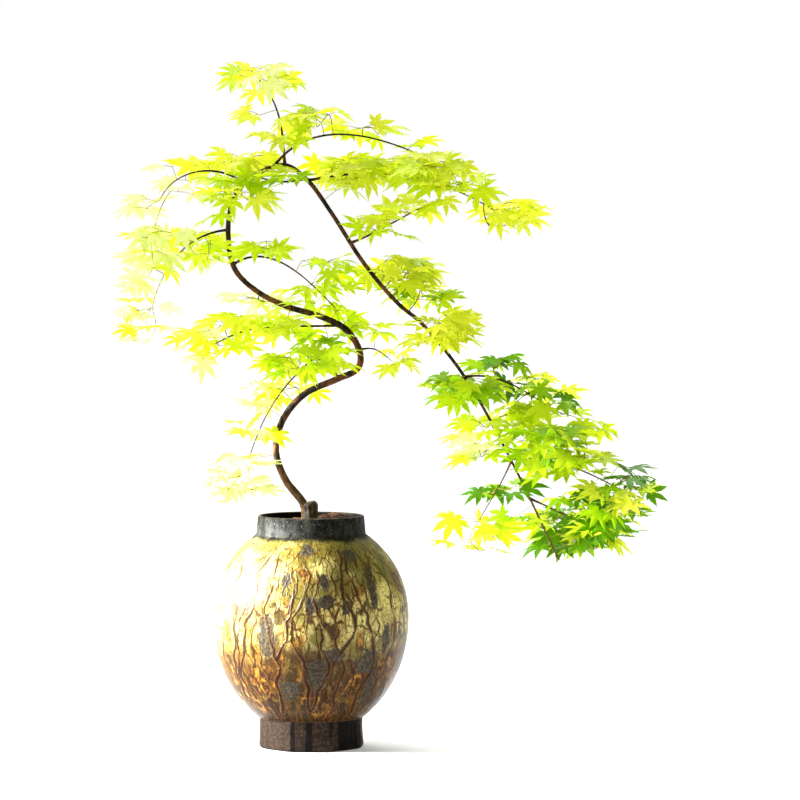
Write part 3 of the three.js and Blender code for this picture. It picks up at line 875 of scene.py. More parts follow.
def buildLeaves():
    blades = []
    for number in range(leafShape["variants"]):
        verts, faces, veins = leafBlade(number)
        blades.append(meshObject("blade%d" % number, verts, faces, attributes={"vein": ("FLOAT", veins)}))
    shapes = shapeCollection("leafShapes", blades)
    spots, turns, sizes, shades = zip(*allLeaves)
    rng = random.Random(leafShape["seed"])
    host = meshObject("leafPoints", [spot * mm for spot in spots], [], attributes={
        "turn": ("FLOAT_VECTOR", turns),
        "size": ("FLOAT", [size * mm for size in sizes]),
        "variant": ("INT", [rng.randrange(leafShape["variants"]) for spot in spots]),
        "shade": ("INT", [shadeNames.index(shade) for shade in shades]),
    }, smooth=False)
    tree = leafTree([leafMaterial(shade) for shade in shadeNames])
    leaves = grow(host, tree, {"Leaf shapes": shapes, "Blade scale": 1.0}, "leaves")
    dropShapes(shapes)
    place(leaves, "leaf", *massShapes)
    print("leaves:", triangles(leaves), "triangles")


twigFinish = {
    "wood": (rgb(60, 34, 20), rgb(104, 74, 34)),
    "shoot": (rgb(158, 160, 60), rgb(150, 118, 58)),
    "stalk": (rgb(150, 152, 44), rgb(150, 104, 48)),
    "green": 0.5 * mm,  # radius up to which a twig is a green shoot
    "woody": 0.85 * mm,  # radius from which it is all wood
}


def patches(tree, coords, colors):
    # Two colours in soft patches a few millimetres across.
    return ramp(tree, noiseNode(tree, coords, 90.0, 3.0), list(zip((0.4, 0.6), colors)))


def stalkMaterial(name, colors, roughness):
    material, tree, coords = newMaterial(name)
    paint(tree, {
        "Base Color": patches(tree, coords, colors), "Roughness": roughness, "Specular IOR Level": 0.2,
    })
    return material


def twigMaterial():
    # Brown where a twig is thick, green like the stalks towards its tips.
    material, tree, coords = newMaterial("twigBark")
    thickness = fromNode(tree, "ShaderNodeAttribute", out="Fac", attribute_name="thickness")
    share = mapped(tree, thickness, twigFinish["green"], twigFinish["woody"])
    shoot, wood = (patches(tree, coords, twigFinish[part]) for part in ("shoot", "wood"))
    paint(tree, {"Base Color": mixColor(tree, share, shoot, wood), "Roughness": 0.6, "Specular IOR Level": 0.2})
    return material


def buildTwigs():
    twigs = growLines("twigs", allTwigs, twigMaterial())
    place(twigs, "bark")
    stalks = growLines("leafStalks", allPetioles, stalkMaterial("leafStalk", twigFinish["stalk"], 0.5))
    place(stalks, "leaf")
    print("twigs:", triangles(twigs), "triangles, stalks:", triangles(stalks))


buildLeaves()
buildTwigs()


def ringFaces(rings, around):
    # Quads between rings of points, and triangles that close the first and the last ring. Their two middle
    # points follow the rings in the list of points.
    faces = []
    for ring in range(rings - 1):
        for k in range(around):
            a, b = ring * around + k, ring * around + (k + 1) % around
            faces.append((a, b, b + around, a + around))
    last, first, second = (rings - 1) * around, rings * around, rings * around + 1
    for k in range(around):
        faces.append((first, (k + 1) % around, k))
        faces.append((second, last + k, last + (k + 1) % around))
    return faces


# The jar: a lathe form with a facetted foot, and a glaze that ran down it before it set. Millimetres.

jarShape = {
    "bellyRadius": 102.7,
    "bellyHeight": 137,
    "upperHalf": 105,
    "lowerHalf": 125,
    "footRadius": 56.4,
    "footHeight": 31,
    "footFlare": 1.2,
    "footFacets": 8,
    "facetDepth": 0.5,
    "footEdge": 3.5,
    "neckRadius": 57.5,
    "neckHeight": 224,
    "rimRadius": 55.8,
    "rimHeight": 244,
    "lip": 3.6,
    "lipRound": 1.6,
    "wall": 6.5,
    "floor": 10,
    "around": 400,
    "ringStep": 1.3,
}

glazeRuns = {
    "seed": 21,
    "main": 42,  # long runs, at even distances round the jar
    "side": 26,  # short ones, anywhere
    "mainTop": (198, 219),
    "mainEnd": (33, 60),
    "sideTop": (70, 214),
    "sideLength": (20, 90),
    "step": 1.4,
    "drift": 0.3,  # how far a run may lean when it starts, sideways for each step down
    "keep": 0.82,  # how much of its lean it keeps at each step
    "wander": 0.26,
    "steepest": 0.8,
    "joinWithin": 2.2,
    "halfWidth": (1.0, 2.0),
    "sideHalfWidth": (0.4, 0.8),
    "relief": 0.22,
    "reach": (7, 6),  # how far round and up a run is looked for from each of its points
}

# Bare grey patches and rusty ones: place across and up as seen from the front, half width and half height.
greySpots = [
    (2, 160, 7, 13), (17, 161, 8, 7), (-24, 183, 5, 9), (15, 182, 6, 11), (-41, 123, 11, 21),
    (25, 105, 11, 9), (4, 84, 13, 20), (60, 97, 14, 15), (39, 155, 6, 8), (-23, 66, 11, 13),
    (63, 70, 11, 24), (-2, 213, 6, 5), (40, 208, 9, 8), (66, 170, 7, 20), (78, 120, 6, 14),
]
rustSpots = [
    (-44, 78, 13, 17), (-86, 128, 12, 16), (48, 66, 12, 14), (-12, 118, 8, 12), (-22, 158, 7, 5),
    (-6, 190, 9, 6), (28, 128, 8, 12), (-56, 108, 8, 12), (52, 118, 7, 14), (12, 50, 22, 8), (-70, 60, 16, 8),
]
backSpots = {
    "seed": 4,
    "grey": 16,
    "rust": 14,
    "angle": (15, 165),  # degrees, the side away from the front
    "height": (55, 205),
    "halfWidth": (6, 15),
    "halfHeight": (7, 19),
}


def bellyRadius(z, inset=0.0):
    rise = z - jarShape["bellyHeight"]
    half = jarShape["upperHalf" if rise > 0 else "lowerHalf"] - inset
    return (jarShape["bellyRadius"] - inset) * math.sqrt(max(0.0, 1 - (rise / half) ** 2))


def jarProfile():
    # Radius and height from the middle of the underside, up the outside, over the lip and down inside.
    j = jarShape
    foot, edge, rim = j["footRadius"], j["footEdge"], j["rimHeight"]
    line = [(0.0, 0.0), (foot - edge, 0.0)]
    for turn in (20, 45, 70):
        a = math.radians(turn)
        line.append((foot - edge + (edge + 0.8) * math.sin(a), edge * (1 - math.cos(a))))
    z = edge
    while z < rim - 2.4:
        if z < j["footHeight"]:
            line.append((foot + j["footFlare"] * (1 - z / j["footHeight"]) ** 2, z))
        elif z < j["neckHeight"]:
            line.append((max(foot - 2, bellyRadius(z)), z))
        else:
            share = (z - j["neckHeight"]) / (rim - j["neckHeight"])
            line.append((j["neckRadius"] + (j["rimRadius"] - j["neckRadius"]) * share, z))
        z += j["ringStep"]
    inner = j["rimRadius"] - j["lip"]
    middle = j["rimRadius"] - j["lip"] / 2
    for turn in range(15, 180, 30):
        a = math.radians(turn)
        line.append((middle + math.cos(a) * j["lip"] / 2, rim - j["lipRound"] + j["lipRound"] * math.sin(a)))
    line += [(inner, rim - depth) for depth in (3, 5, 8, 12, 18)]
    lowest = j["bellyHeight"] - 0.9 * (j["lowerHalf"] - j["wall"])
    line += [(bellyRadius(z, j["wall"]), z) for z in np.linspace(j["neckHeight"] - 5, lowest, 8)]
    line += [(0.82 * bellyRadius(lowest, j["wall"]), j["floor"]), (0.0, j["floor"])]
    return line


def runPaths():
    # Glaze runs as lists of (angle, height, half width). A run that meets an earlier one flows into it.
    g, taken, paths = glazeRuns, {}, []
    rng = random.Random(g["seed"])
    for number in range(g["main"] + g["side"]):
        mainRun = number < g["main"]
        share = number / g["main"] if mainRun else rng.random()
        angle = (share + rng.uniform(-0.3, 0.3) / g["main"]) * 2 * math.pi
        z = rng.uniform(*g["mainTop" if mainRun else "sideTop"])
        last = rng.uniform(*g["mainEnd"]) if mainRun else z - rng.uniform(*g["sideLength"])
        width = rng.uniform(*g["halfWidth" if mainRun else "sideHalfWidth"])
        drift, path = rng.uniform(-g["drift"], g["drift"]), []
        while z > max(g["mainEnd"][0], last):
            radius = bellyRadius(z)
            drift = g["keep"] * drift + rng.gauss(0, g["wander"])
            drift = max(-g["steepest"], min(g["steepest"], drift))
            angle += drift * g["step"] / radius
            z -= g["step"]
            swell = 0.75 + 0.55 * (1 - z / 220) + 0.25 * math.sin(z * 0.21 + number)
            path.append((angle % (2 * math.pi), z, width * swell * min(1, 0.35 + len(path) / 14)))
            gaps = [abs((angle - other + math.pi) % (2 * math.pi) - math.pi) * radius
                    for other in taken.get(round(z / g["step"]), [])]
            if len(path) > 5 and gaps and min(gaps) < g["joinWithin"]:
                break
        for angle, z, width in path:
            taken.setdefault(round(z / g["step"]), []).append(angle)
        paths.append(path)
    return paths


def spotField(angles, heights, radii, spots):
    # How deep each point lies in a patch: 1 in the middle, 0 at the edge, below 0 outside.
    field = np.full(angles.shape, -1.0)
    for angle, z, halfWidth, halfHeight in spots:
        away = (angles - angle + np.pi) % (2 * np.pi) - np.pi
        far = np.hypot(away * radii / halfWidth, (heights - z) / halfHeight)
        field = np.maximum(field, 1 - far)
    return field


def frontSpots(spots):
    # The front of the jar is its -Y side, at an angle of -90 degrees.
    return [(math.asin(max(-1, min(1, x / bellyRadius(z)))) - math.pi / 2, z, w, h) for x, z, w, h in spots]


def scatteredSpots(count, rng):
    spots = []
    for number in range(count):
        angle, *rest = (rng.uniform(*backSpots[name]) for name in ("angle", "height", "halfWidth", "halfHeight"))
        spots.append((math.radians(angle), *rest))
    return spots


def jarPiece(material):
    profile = jarProfile()
    around = jarShape["around"]
    rings = np.array(profile[1:-1])
    turn = np.arange(around) * 2 * np.pi / around
    radii, heights = (np.repeat(rings[:, k][:, None], around, 1) for k in (0, 1))
    angles = np.repeat(turn[None, :], len(rings), 0)
    facet = 2 * np.pi / jarShape["footFacets"]
    toEdge = (angles / facet + 0.5) % 1 - 0.5
    flat = np.cos(facet / 2) / np.cos(toEdge * facet)
    depth = jarShape["facetDepth"] * (heights < jarShape["footHeight"]) * (radii > jarShape["footRadius"] - 5)
    radii = radii * (1 + (flat - 1) * depth)

    run = np.full(radii.shape, -1.5)
    outer = int(np.argmax(rings[:, 1]))  # rings past the lip belong to the inside
    reachRound, reachUp = glazeRuns["reach"]
    span = int(reachRound / 50 / (2 * np.pi) * around) + 1
    for path in runPaths():
        for angle, z, halfWidth in path:
            near = np.flatnonzero(np.abs(rings[:outer, 1] - z) < reachUp)
            columns = (int(round(angle / (2 * np.pi) * around)) + np.arange(-span, span + 1)) % around
            block = np.ix_(near, columns)
            away = (angles[block] - angle + np.pi) % (2 * np.pi) - np.pi
            far = np.hypot(away * radii[block], heights[block] - z)
            run[block] = np.maximum(run[block], 1 - far / halfWidth)
    run[outer:] = -1.5
    rng = random.Random(backSpots["seed"])
    grey = spotField(angles, heights, radii, frontSpots(greySpots) + scatteredSpots(backSpots["grey"], rng))
    rust = spotField(angles, heights, radii, frontSpots(rustSpots) + scatteredSpots(backSpots["rust"], rng))
    grey[outer:], rust[outer:] = -1, -1
    radii = radii + glazeRuns["relief"] * np.clip(run + 0.2, 0, 1) ** 0.5 * (rings[:, 0] > 1)[:, None]

    verts = np.stack([radii * np.cos(angles), radii * np.sin(angles), heights], -1).reshape(-1, 3) * mm
    verts = np.vstack([verts, [(0, 0, profile[0][1] * mm), (0, 0, profile[-1][1] * mm)]])
    fields = {name: ("FLOAT", np.append(values.ravel(), [-1, -1])) for name, values in
              (("run", run), ("grey", grey), ("rust", rust))}
    return meshObject("glazedJar", verts, ringFaces(len(rings), around), attributes=fields, material=material)


glazeColors = {
    "cream": rgb(216, 202, 122),
    "olive": rgb(112, 108, 48),
    "ochre": rgb(168, 114, 36),
    "runTop": rgb(56, 36, 12),
    "runLow": rgb(28, 15, 7),
    "halo": rgb(116, 72, 24),
    "rustLight": rgb(170, 118, 40),
    "rustDark": rgb(54, 26, 11),
    "grey": rgb(74, 66, 54),
    "greyDark": rgb(40, 34, 26),
    "base": rgb(54, 35, 13),
    "veil": rgb(120, 95, 42),
    # darkest brown low on the belly: partly the glaze, partly painted shade under the belly
    "lowGlazeAndShade": rgb(30, 18, 6),
    "collar": rgb(12, 12, 4),
    "collarSmear": rgb(34, 33, 18),
    "collarSpeck": rgb(96, 102, 84),
    "lip": rgb(54, 44, 31),
    "foot": rgb(30, 21, 15),
    "footLight": rgb(54, 42, 30),
    "footStreak": rgb(8, 6, 5),
    # near black: painted shade for the inside of the neck
    "inside": rgb(3, 3, 2),
}


def glazeMaterial():
    c = glazeColors
    material, tree, coords = newMaterial("dripGlaze")
    axes = addNode(tree, "ShaderNodeSeparateXYZ", {"Vector": coords}).outputs
    height = mathNode(tree, "MULTIPLY", axes["Z"], 1000.0)  # millimetres

    def stretched(stretch):
        return fromNode(tree, "ShaderNodeMapping", {"Vector": coords, "Scale": (1, 1, stretch)})

    def cloud(scale, detail=3.0, stretch=1.0, roughness=0.55):
        return noiseNode(tree, stretched(stretch), scale, detail, roughness)

    def field(name):
        return fromNode(tree, "ShaderNodeAttribute", attribute_name=name, out="Fac")

    def band(value, low, high):
        # 0 below low, 1 above high, for either order of the two
        return fromNode(tree, "ShaderNodeMapRange", {"Value": value, "From Min": low, "From Max": high},
                       interpolation_type="SMOOTHSTEP")

    def both(*masks):
        result = masks[0]
        for mask in masks[1:]:
            result = mathNode(tree, "MULTIPLY", result, mask)
        return result

    def total(*values):
        result = values[0]
        for value in values[1:]:
            result = mathNode(tree, "ADD", result, value)
        return result

    def shifted(value, noiseValue, amount):
        return total(value, both(centred(tree, noiseValue), amount))

    def over(color, layer, *masks):
        # A layer of glaze on what is there, as thick as the product of its masks.
        return mixColor(tree, both(*masks), color, layer)

    # Lengths round the jar, once from the front and once from the back, so that neither seam is seen.
    behind = mathNode(tree, "MULTIPLY", axes["Y"], -1.0)
    rounds = []
    for depth in (behind, axes["Y"]):
        turn = mathNode(tree, "ARCTAN2", axes["X"], depth)
        length = mathNode(tree, "MULTIPLY", turn, jarShape["bellyRadius"] * mm)
        rounds.append(fromNode(tree, "ShaderNodeCombineXYZ", {"X": length, "Y": axes["Z"]}))
    backShare = band(shifted(axes["Y"], cloud(30.0), 0.08), -0.004, 0.008)

    def net(scale, stretch, warp):
        # Distance to the edges of cells that are drawn out along the height and pulled about by noise.
        wander = noiseNode(tree, stretched(0.5), scale * 0.6, 3.0, out="Color")
        pulled = vectorMath(tree, "SUBTRACT", wander, (0.5, 0.5, 0.5))
        moved = vectorMath(tree, "MULTIPLY", pulled, (warp, warp * 0.4, 0))
        sides = []
        for spread in rounds:
            drawn = vectorMath(tree, "MULTIPLY", spread, (1, stretch, 1))
            sides.append(fromNode(tree, "ShaderNodeTexVoronoi", {
                "Vector": vectorMath(tree, "ADD", drawn, moved), "Scale": scale,
            }, voronoi_dimensions="2D", feature="DISTANCE_TO_EDGE"))
        return fromNode(tree, "ShaderNodeMix", {0: backShare, 2: sides[0], 3: sides[1]}, data_type="FLOAT")

    soft = cloud(24.0)
    mid = cloud(75.0, 4.0, 0.6)
    fine = cloud(340.0, 4.0)
    edges = cloud(150.0, 5.0, 0.7, 0.7)

    # ground glaze: cream to olive, greener under the collar, with ochre where it is thin
    greener = total(soft, both(band(height, 150.0, 222.0), 0.16))
    color = over(c["cream"], c["olive"], band(greener, 0.46, 0.66))
    color = over(color, c["ochre"], band(mid, 0.52, 0.66), band(height, 225.0, 180.0), 0.5)
    fineNet = band(net(230.0, 0.75, 0.009), 0.15, 0.04)
    color = over(color, c["halo"], fineNet, band(mid, 0.34, 0.5), 0.65)
    wideNet = band(shifted(net(120.0, 0.5, 0.014), fine, 0.12), 0.1, 0.03)
    color = over(color, c["runTop"], wideNet, band(cloud(34.0), 0.4, 0.52), 0.85)

    # rust patches, and the rusty brown that takes over towards the foot, darker still lower down, where it is
    # partly the glaze and partly painted shade under the belly
    rust = shifted(field("rust"), edges, 2.2)
    rustColor = over(c["rustDark"], c["rustLight"], band(edges, 0.46, 0.6))
    color = over(color, rustColor, band(rust, 0.0, 0.35), 0.85)
    low = shifted(shifted(height, soft, 84.0), mid, 40.0)
    # Partly painted shade: the brown is darker still low on the belly.
    baseColor = over(c["base"], c["lowGlazeAndShade"], band(low, 96.0, 48.0))
    baseColor = over(baseColor, c["veil"], band(edges, 0.48, 0.62), band(height, 34.0, 60.0), 0.55)
    color = over(color, baseColor, band(low, 132.0, 96.0), 0.98)
    lowPatch = both(band(low, 112.0, 84.0), band(cloud(44.0, 5.0, 0.6), 0.5, 0.54), band(height, 34.0, 48.0))
    color = over(color, rustColor, lowPatch, 0.75)

    # an upright net of thin runs
    runColor = over(c["runLow"], c["runTop"], band(height, 70.0, 200.0))
    upright = shifted(net(80.0, 0.16, 0.03), fine, 0.08)
    uprightShare = mathNode(tree, "DIVIDE", upright, total(band(cloud(30.0), 0.3, 0.75), 0.4))
    uprightMask = both(band(uprightShare, 0.12, 0.06), band(height, 221.0, 208.0))
    color = over(color, c["halo"], band(uprightShare, 0.24, 0.1), band(height, 215.0, 170.0), 0.35)
    color = over(color, runColor, uprightMask, band(cloud(26.0), 0.42, 0.56), 0.85)

    grey = shifted(shifted(field("grey"), mid, 2.6), edges, 1.8)
    greyMask = band(grey, 0.08, 0.16)
    greyColor = over(c["greyDark"], c["grey"], band(fine, 0.4, 0.62))
    color = over(color, greyColor, greyMask, 0.93)

    # the long runs that lie on the form
    run = shifted(field("run"), fine, 0.7)
    runMask = band(run, -0.05, 0.25)
    color = over(color, c["halo"], band(run, -0.9, 0.0), 0.4)
    color = over(color, runColor, runMask, 0.93)
    pits = fromNode(tree, "ShaderNodeTexVoronoi", {"Vector": coords, "Scale": 190.0})
    color = over(color, c["runLow"], band(pits, 0.2, 0.12), band(soft, 0.42, 0.5))

    collarMask = band(shifted(height, mid, 9.0), 217.5, 223.0)
    smear = cloud(170.0, 5.0, 0.55, 0.65)
    collarColor = over(c["collar"], c["collarSmear"], band(smear, 0.5, 0.7))
    collarColor = over(collarColor, c["collarSpeck"], band(cloud(620.0, 2.0), 0.64, 0.7), 0.75)
    color = over(color, collarColor, collarMask)

    footMask = band(shifted(height, edges, 3.0), 33.0, 30.5)
    streaks = shifted(cloud(60.0, 4.0, 0.06), edges, 0.12)
    footColor = over(c["foot"], c["footLight"], band(fine, 0.4, 0.7))
    footColor = over(footColor, c["footStreak"], band(streaks, 0.54, 0.58))
    color = over(color, footColor, footMask)

    out = vectorMath(tree, "MULTIPLY", coords, (1, 1, 0))
    fromAxis = vectorMath(tree, "LENGTH", out, out="Value")
    inner = (jarShape["rimRadius"] - jarShape["lip"] + 0.5) * mm
    # Painted shade: the inside of the neck is painted near black.
    insideShadeMask = both(band(fromAxis, inner + 0.0004, inner - 0.0002), band(height, 220.0, 222.0))
    color = over(color, c["inside"], insideShadeMask)
    color = over(color, c["lip"], band(shifted(height, fine, 0.8), 243.0, 243.5))

    relief = total(both(runMask, 0.6), both(greyMask, fine, -0.8), both(uprightMask, 0.5),
                   both(fineNet, -0.35), both(fine, 0.25))
    rough = total(both(greyMask, 0.2), both(collarMask, 0.3), 0.26, both(footMask, 0.25))
    dull = insideShadeMask
    for mask in (footMask, band(height, 130.0, 60.0), both(collarMask, 0.8)):
        dull = mathNode(tree, "MAXIMUM", dull, mask)
    sheen = both(collarMask, band(smear, 0.4, 0.6), band(fromAxis, inner, inner + 0.0006), 0.16)
    paint(tree, {
        "Base Color": color, "Roughness": rough, "Normal": bumpNode(tree, relief, 0.55, 0.0009),
        "Specular IOR Level": total(mapped(tree, dull, 0.0, 1.0, 0.15, 0.05), sheen),
    })
    return material


glazedJar = jarPiece(glazeMaterial())
place(glazedJar, "glaze", "jar")
print("jar:", triangles(glazedJar), "triangles")


# Soil inside the neck, with crumbs, root fibres and a tuft of moss. Millimetres.

soilShape = {
    "seed": 9,
    "crown": 238.6,
    "crownRadius": 22,
    "edge": 235.4,
    "lean": 1.4,
    "radius": 51.8,
    "depth": 20,
    "mound": (26, 21, 19, 5.0),  # where fibres are heaped: X, Y, radius and height
    "crumbs": 1500,
    "crumbSize": (0.5, 1.9),
    "crumbKinds": 5,
    "fibres": 240,
    "fibreFrom": (12, 46),  # from the middle of the jar
    "fibreLength": (5, 16),
    "fibreRadius": (0.16, 0.3),
    "fibrePoints": 8,
    "moss": (33, -35, 8, 46),  # a tuft by the rim: X, Y, radius and number of shoots
    "shootHeight": (3, 7),
    "grains": [(0.35, rgb(8, 5, 4)), (0.55, rgb(19, 12, 8)), (0.72, rgb(42, 28, 18))],
    "fibreColors": (rgb(38, 20, 12), rgb(112, 75, 46)),
    "mossColors": (rgb(72, 92, 18), rgb(172, 184, 54)),
}


def soilHeight(x, y):
    s, out = soilShape, math.hypot(x, y)
    share = max(0.0, min(1.0, (out - s["crownRadius"]) / (s["radius"] - s["crownRadius"])))
    level = s["crown"] + (s["edge"] - s["crown"]) * share + s["lean"] * share * x / s["radius"]
    moundX, moundY, moundRadius, moundHeight = s["mound"]
    far = (x - moundX) ** 2 + (y - moundY) ** 2
    level += moundHeight * math.exp(-far / moundRadius ** 2) * min(1, out / 30)
    coarse, fine = noise.noise(Vector((x, y, 0)) * 0.16), noise.noise(Vector((x, y, 7)) * 0.5)
    return level + 0.9 * coarse + 0.4 * fine - 0.3


def soilMaterial():
    material, tree, coords = newMaterial("pottingSoil")
    grains = fromNode(tree, "ShaderNodeTexVoronoi", {"Vector": coords, "Scale": 420.0})
    color = ramp(tree, noiseNode(tree, coords, 160.0, 4.0), soilShape["grains"])
    paint(tree, {"Base Color": color, "Roughness": 0.9, "Normal": bumpNode(tree, grains, 0.8, 0.001)})
    return material


def discMesh(name, radius, surface, depth, material, rings=34, around=96):
    # A closed disc whose top follows surface(x, y).
    verts, faces = [(0, 0, surface(0, 0) * mm)], []
    for ring in range(1, rings + 1):
        for k in range(around):
            a = 2 * math.pi * k / around
            x, y = radius * ring / rings * math.cos(a), radius * ring / rings * math.sin(a)
            verts.append((x * mm, y * mm, surface(x, y) * mm))
    under = surface(0, 0) - depth
    rim = 1 + (rings - 1) * around
    verts += [(*verts[rim + k][:2], under * mm) for k in range(around)] + [(0, 0, under * mm)]
    low = 1 + rings * around
    for k in range(around):
        n = (k + 1) % around
        faces.append((0, 1 + k, 1 + n))
        for ring in range(rings - 1):
            a, b = 1 + ring * around, 1 + (ring + 1) * around
            faces.append((a + k, b + k, b + n, a + n))
        faces.append((rim + k, low + k, low + n, rim + n))
        faces.append((low + around, low + n, low + k))
    return meshObject(name, verts, faces, material=material)


def crumbTree():
    # Crumbs of every size and turn, scattered over the top of the soil.
    tree, given = geometryTree("scatterCrumbs", {
        "Crumbs": "Collection", "Count per square metre": "Float", "Smallest": "Float", "Largest": "Float",
        "Seed": "Int", "Material": "Material",
    })
    normal = fromNode(tree, "GeometryNodeInputNormal")
    upward = fromNode(tree, "ShaderNodeSeparateXYZ", {0: normal}, out="Z")
    top = compared(tree, "FLOAT", "GREATER_THAN", {0: upward, 1: 0.3})
    spots = fromNode(tree, "GeometryNodeDistributePointsOnFaces", {
        "Mesh": given["Geometry"], "Selection": top, "Density": given["Count per square metre"],
        "Seed": given["Seed"],
    })
    turn = fromNode(tree, "FunctionNodeRandomValue", {
        0: (0, 0, 0), 1: (6.28, 6.28, 6.28), "Seed": given["Seed"],
    }, data_type="FLOAT_VECTOR")
    size = fromNode(tree, "FunctionNodeRandomValue", {
        2: given["Smallest"], 3: given["Largest"], "Seed": given["Seed"],
    }, data_type="FLOAT", out=1)
    shapes = fromNode(tree, "GeometryNodeCollectionInfo", {
        "Collection": given["Crumbs"], "Separate Children": True, "Reset Children": True,
    })
    crumbs = fromNode(tree, "GeometryNodeInstanceOnPoints", {
        "Points": spots, "Instance": shapes, "Pick Instance": True, "Rotation": turn, "Scale": size,
    })
    finishTree(tree, crumbs, given["Material"])
    return tree


def crumbShapes(count):
    # Lumps with a few dozen faces, one unit across.
    lumps = []
    for number in range(count):
        verts, faces, around, rings = [(0, 0, 0.5)], [], 7, 4
        for ring in range(1, rings):
            for k in range(around):
                a, b = 2 * math.pi * k / around, math.pi * ring / rings
                at = Vector((math.sin(b) * math.cos(a), math.sin(b) * math.sin(a), math.cos(b)))
                verts.append(at * (0.5 + 0.34 * noise.noise(at * 1.3 + Vector((number * 9.1, 0, 0)))))
        verts.append((0, 0, -0.5))
        for k in range(around):
            n = (k + 1) % around
            faces.append((0, 1 + k, 1 + n))
            for ring in range(rings - 2):
                a, b = 1 + ring * around, 1 + (ring + 1) * around
                faces.append((a + k, b + k, b + n, a + n))
            faces.append((1 + (rings - 2) * around + n, 1 + (rings - 2) * around + k, len(verts) - 1))
        lumps.append(meshObject("crumb%d" % number, verts, faces, smooth=False))
    return shapeCollection("crumbShapes", lumps)


def fibreLines(rng):
    # Dead root fibres that lie about on the soil, most of them on the mound.
    s, lines = soilShape, []
    moundX, moundY, moundRadius = s["mound"][:3]
    points = s["fibrePoints"]
    for number in range(s["fibres"]):
        a, out = rng.uniform(0, 2 * math.pi), rng.uniform(*s["fibreFrom"])
        heading, length = rng.uniform(0, 2 * math.pi), rng.uniform(*s["fibreLength"])
        curve, line = rng.uniform(-0.12, 0.12), []
        x, y = out * math.cos(a), out * math.sin(a)
        if number % 3:
            x, y = rng.gauss(moundX, moundRadius * 0.45), rng.gauss(moundY, moundRadius * 0.45)
        for step in range(points):
            if math.hypot(x, y) > s["radius"] - 2:
                break
            lift = 0.5 + 2.2 * math.sin(math.pi * step / (points - 1)) * rng.uniform(0.3, 1)
            line.append((Vector((x, y, soilHeight(x, y) + lift)), rng.uniform(*s["fibreRadius"])))
            heading += curve * length / points
            x += math.cos(heading) * length / (points - 1)
            y += math.sin(heading) * length / (points - 1)
        if len(line) > 3:
            lines.append(line)
    return lines


def mossLines(rng):
    lines = []
    mossX, mossY, mossRadius, shoots = soilShape["moss"]
    for number in range(shoots):
        a, out = rng.uniform(0, 2 * math.pi), mossRadius * math.sqrt(rng.random())
        x, y = mossX + out * math.cos(a), mossY + out * math.sin(a)
        reach = math.hypot(x, y) / (soilShape["radius"] - 1.5)
        x, y = x / max(1, reach), y / max(1, reach)
        tall = rng.uniform(*soilShape["shootHeight"])
        bow = Vector((rng.uniform(-2.5, 2.5), rng.uniform(-2.5, 1), 0))
        root = Vector((x, y, soilHeight(x, y)))
        lines.append([(root + bow * t * t + Vector((0, 0, tall * t)), 0.8 * (1 - 0.75 * t))
                      for t in (0, 0.3, 0.6, 0.85, 1)])
    return lines


def buildSoil():
    s, material = soilShape, soilMaterial()
    soil = discMesh("soilTop", s["radius"], soilHeight, s["depth"], material)
    place(soil, "soil", "soil")
    host = discMesh("crumbHost", s["radius"] - 1.5, lambda x, y: soilHeight(x, y) + 0.1, 2, None)
    shapes = crumbShapes(s["crumbKinds"])
    area = math.pi * (s["radius"] * mm) ** 2
    crumbs = grow(host, crumbTree(), {
        "Crumbs": shapes, "Count per square metre": s["crumbs"] / area,
        "Smallest": s["crumbSize"][0] * mm, "Largest": s["crumbSize"][1] * mm,
        "Seed": s["seed"], "Material": material,
    }, "soilCrumbs")
    dropShapes(shapes)
    place(crumbs, "soil")
    rng = random.Random(s["seed"])
    fibres = growLines("rootFibres", fibreLines(rng), stalkMaterial("rootFibre", s["fibreColors"], 0.8))
    place(fibres, "soil")
    moss = growLines("moss", mossLines(rng), stalkMaterial("moss", s["mossColors"], 0.8))
    place(moss, "soil")
    print("soil:", sum(triangles(piece) for piece in (soil, crumbs, fibres, moss)), "triangles")


buildSoil()


# The stump of the first leader, cut long ago and healed over, with a hollow scar on top. Millimetres.

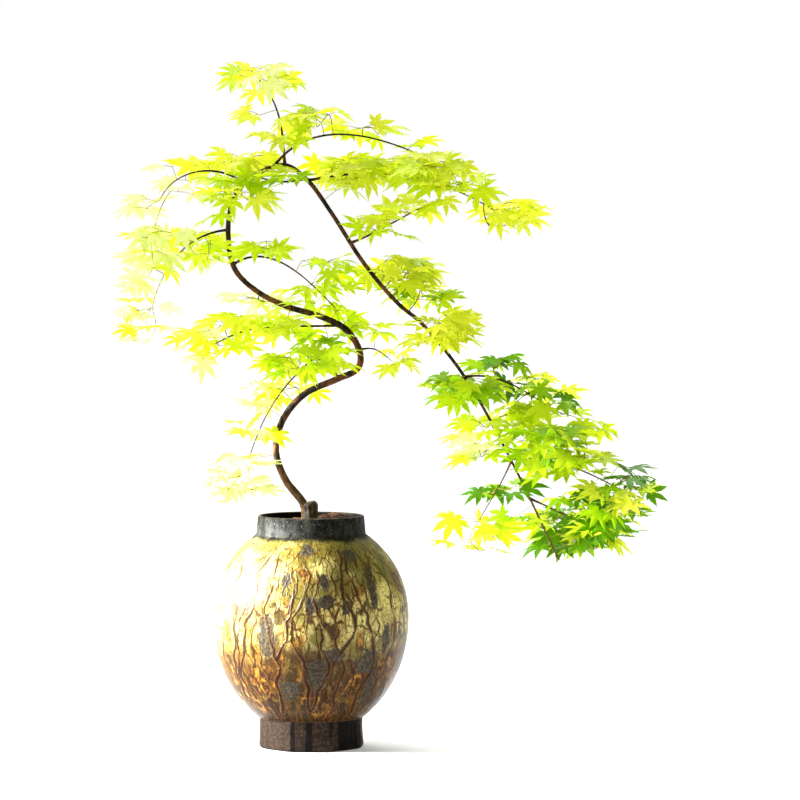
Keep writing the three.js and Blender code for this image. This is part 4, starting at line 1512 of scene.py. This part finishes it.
stumpShape = {
    "at": (-0.4, -4.5),
    "ground": 237.5,
    "height": 21.5,
    "radius": 7.2,
    "scar": 0.55,  # share of the radius that the hollow takes
    "swell": [(0, 1.28), (0.08, 1.1), (0.25, 0.97), (0.5, 1.0), (0.72, 1.04), (0.86, 0.96), (0.95, 0.78)],
    "ridges": 7,
    "ridgeDepth": 0.09,
    "rings": 26,
    "sunkRings": 4,  # the last ones, which go down into the scar
    "around": 48,
    "bark": [(0.36, rgb(20, 13, 7)), (0.52, rgb(56, 38, 21)), (0.68, rgb(108, 80, 50))],
    # painted shade for the hollow of the scar
    "hollow": rgb(30, 20, 14),
}


def stumpPiece(material):
    s = stumpShape
    marks, widths = zip(*s["swell"], (1.0, s["scar"]))
    verts, edgeRing = [], s["rings"] - s["sunkRings"] - 1
    for ring in range(s["rings"]):
        up = min(1.0, ring / edgeRing)
        sunk = max(0, ring - edgeRing)
        for k in range(s["around"]):
            a = 2 * math.pi * k / s["around"]
            width = float(np.interp(up, marks, widths)) if not sunk else s["scar"] * (1 - sunk * 0.2)
            ridge = 1 + s["ridgeDepth"] * math.sin(s["ridges"] * a + 1.5 * math.sin(3 * up)) * (1 - 0.5 * up)
            lump = 1 + 0.16 * noise.noise(Vector((math.cos(a), math.sin(a), up * 2.2)) * 1.4)
            r = s["radius"] * width * ridge * lump
            z = s["ground"] + s["height"] * up - 0.8 * sunk + 0.7 * math.cos(a) * up
            verts.append(((s["at"][0] + r * math.cos(a)) * mm, (s["at"][1] + r * math.sin(a)) * mm, z * mm))
    middle = [c * mm for c in s["at"]]
    lastRing = (s["rings"] - 1) * s["around"]
    verts += [(*middle, s["ground"] * mm), (*middle, verts[lastRing][2] - 0.3 * mm)]
    return meshObject("healedStump", verts, ringFaces(s["rings"], s["around"]), material=material)


def stumpMaterial():
    s = stumpShape
    material, tree, coords = newMaterial("stumpBark")
    stretched = fromNode(tree, "ShaderNodeMapping", {"Vector": coords, "Scale": (1, 1, 0.25)})
    grain = noiseNode(tree, stretched, 420.0, 5.0)
    top = (s["at"][0] * mm, s["at"][1] * mm, (s["ground"] + s["height"] + 1) * mm)
    # Painted shade: the hollow of the scar is darkened.
    fromScar = vectorMath(tree, "DISTANCE", coords, top, out="Value")
    scarShade = mapped(tree, fromScar, 0.0026, 0.0044, 0.85, 0.0)
    color = mixColor(tree, scarShade, ramp(tree, grain, s["bark"]), s["hollow"])
    paint(tree, {"Base Color": color, "Roughness": 0.7, "Normal": bumpNode(tree, grain, 0.7, 0.0008)})
    return material


healedStump = stumpPiece(stumpMaterial())
place(healedStump, "bark")
print("stump:", triangles(healedStump), "triangles")
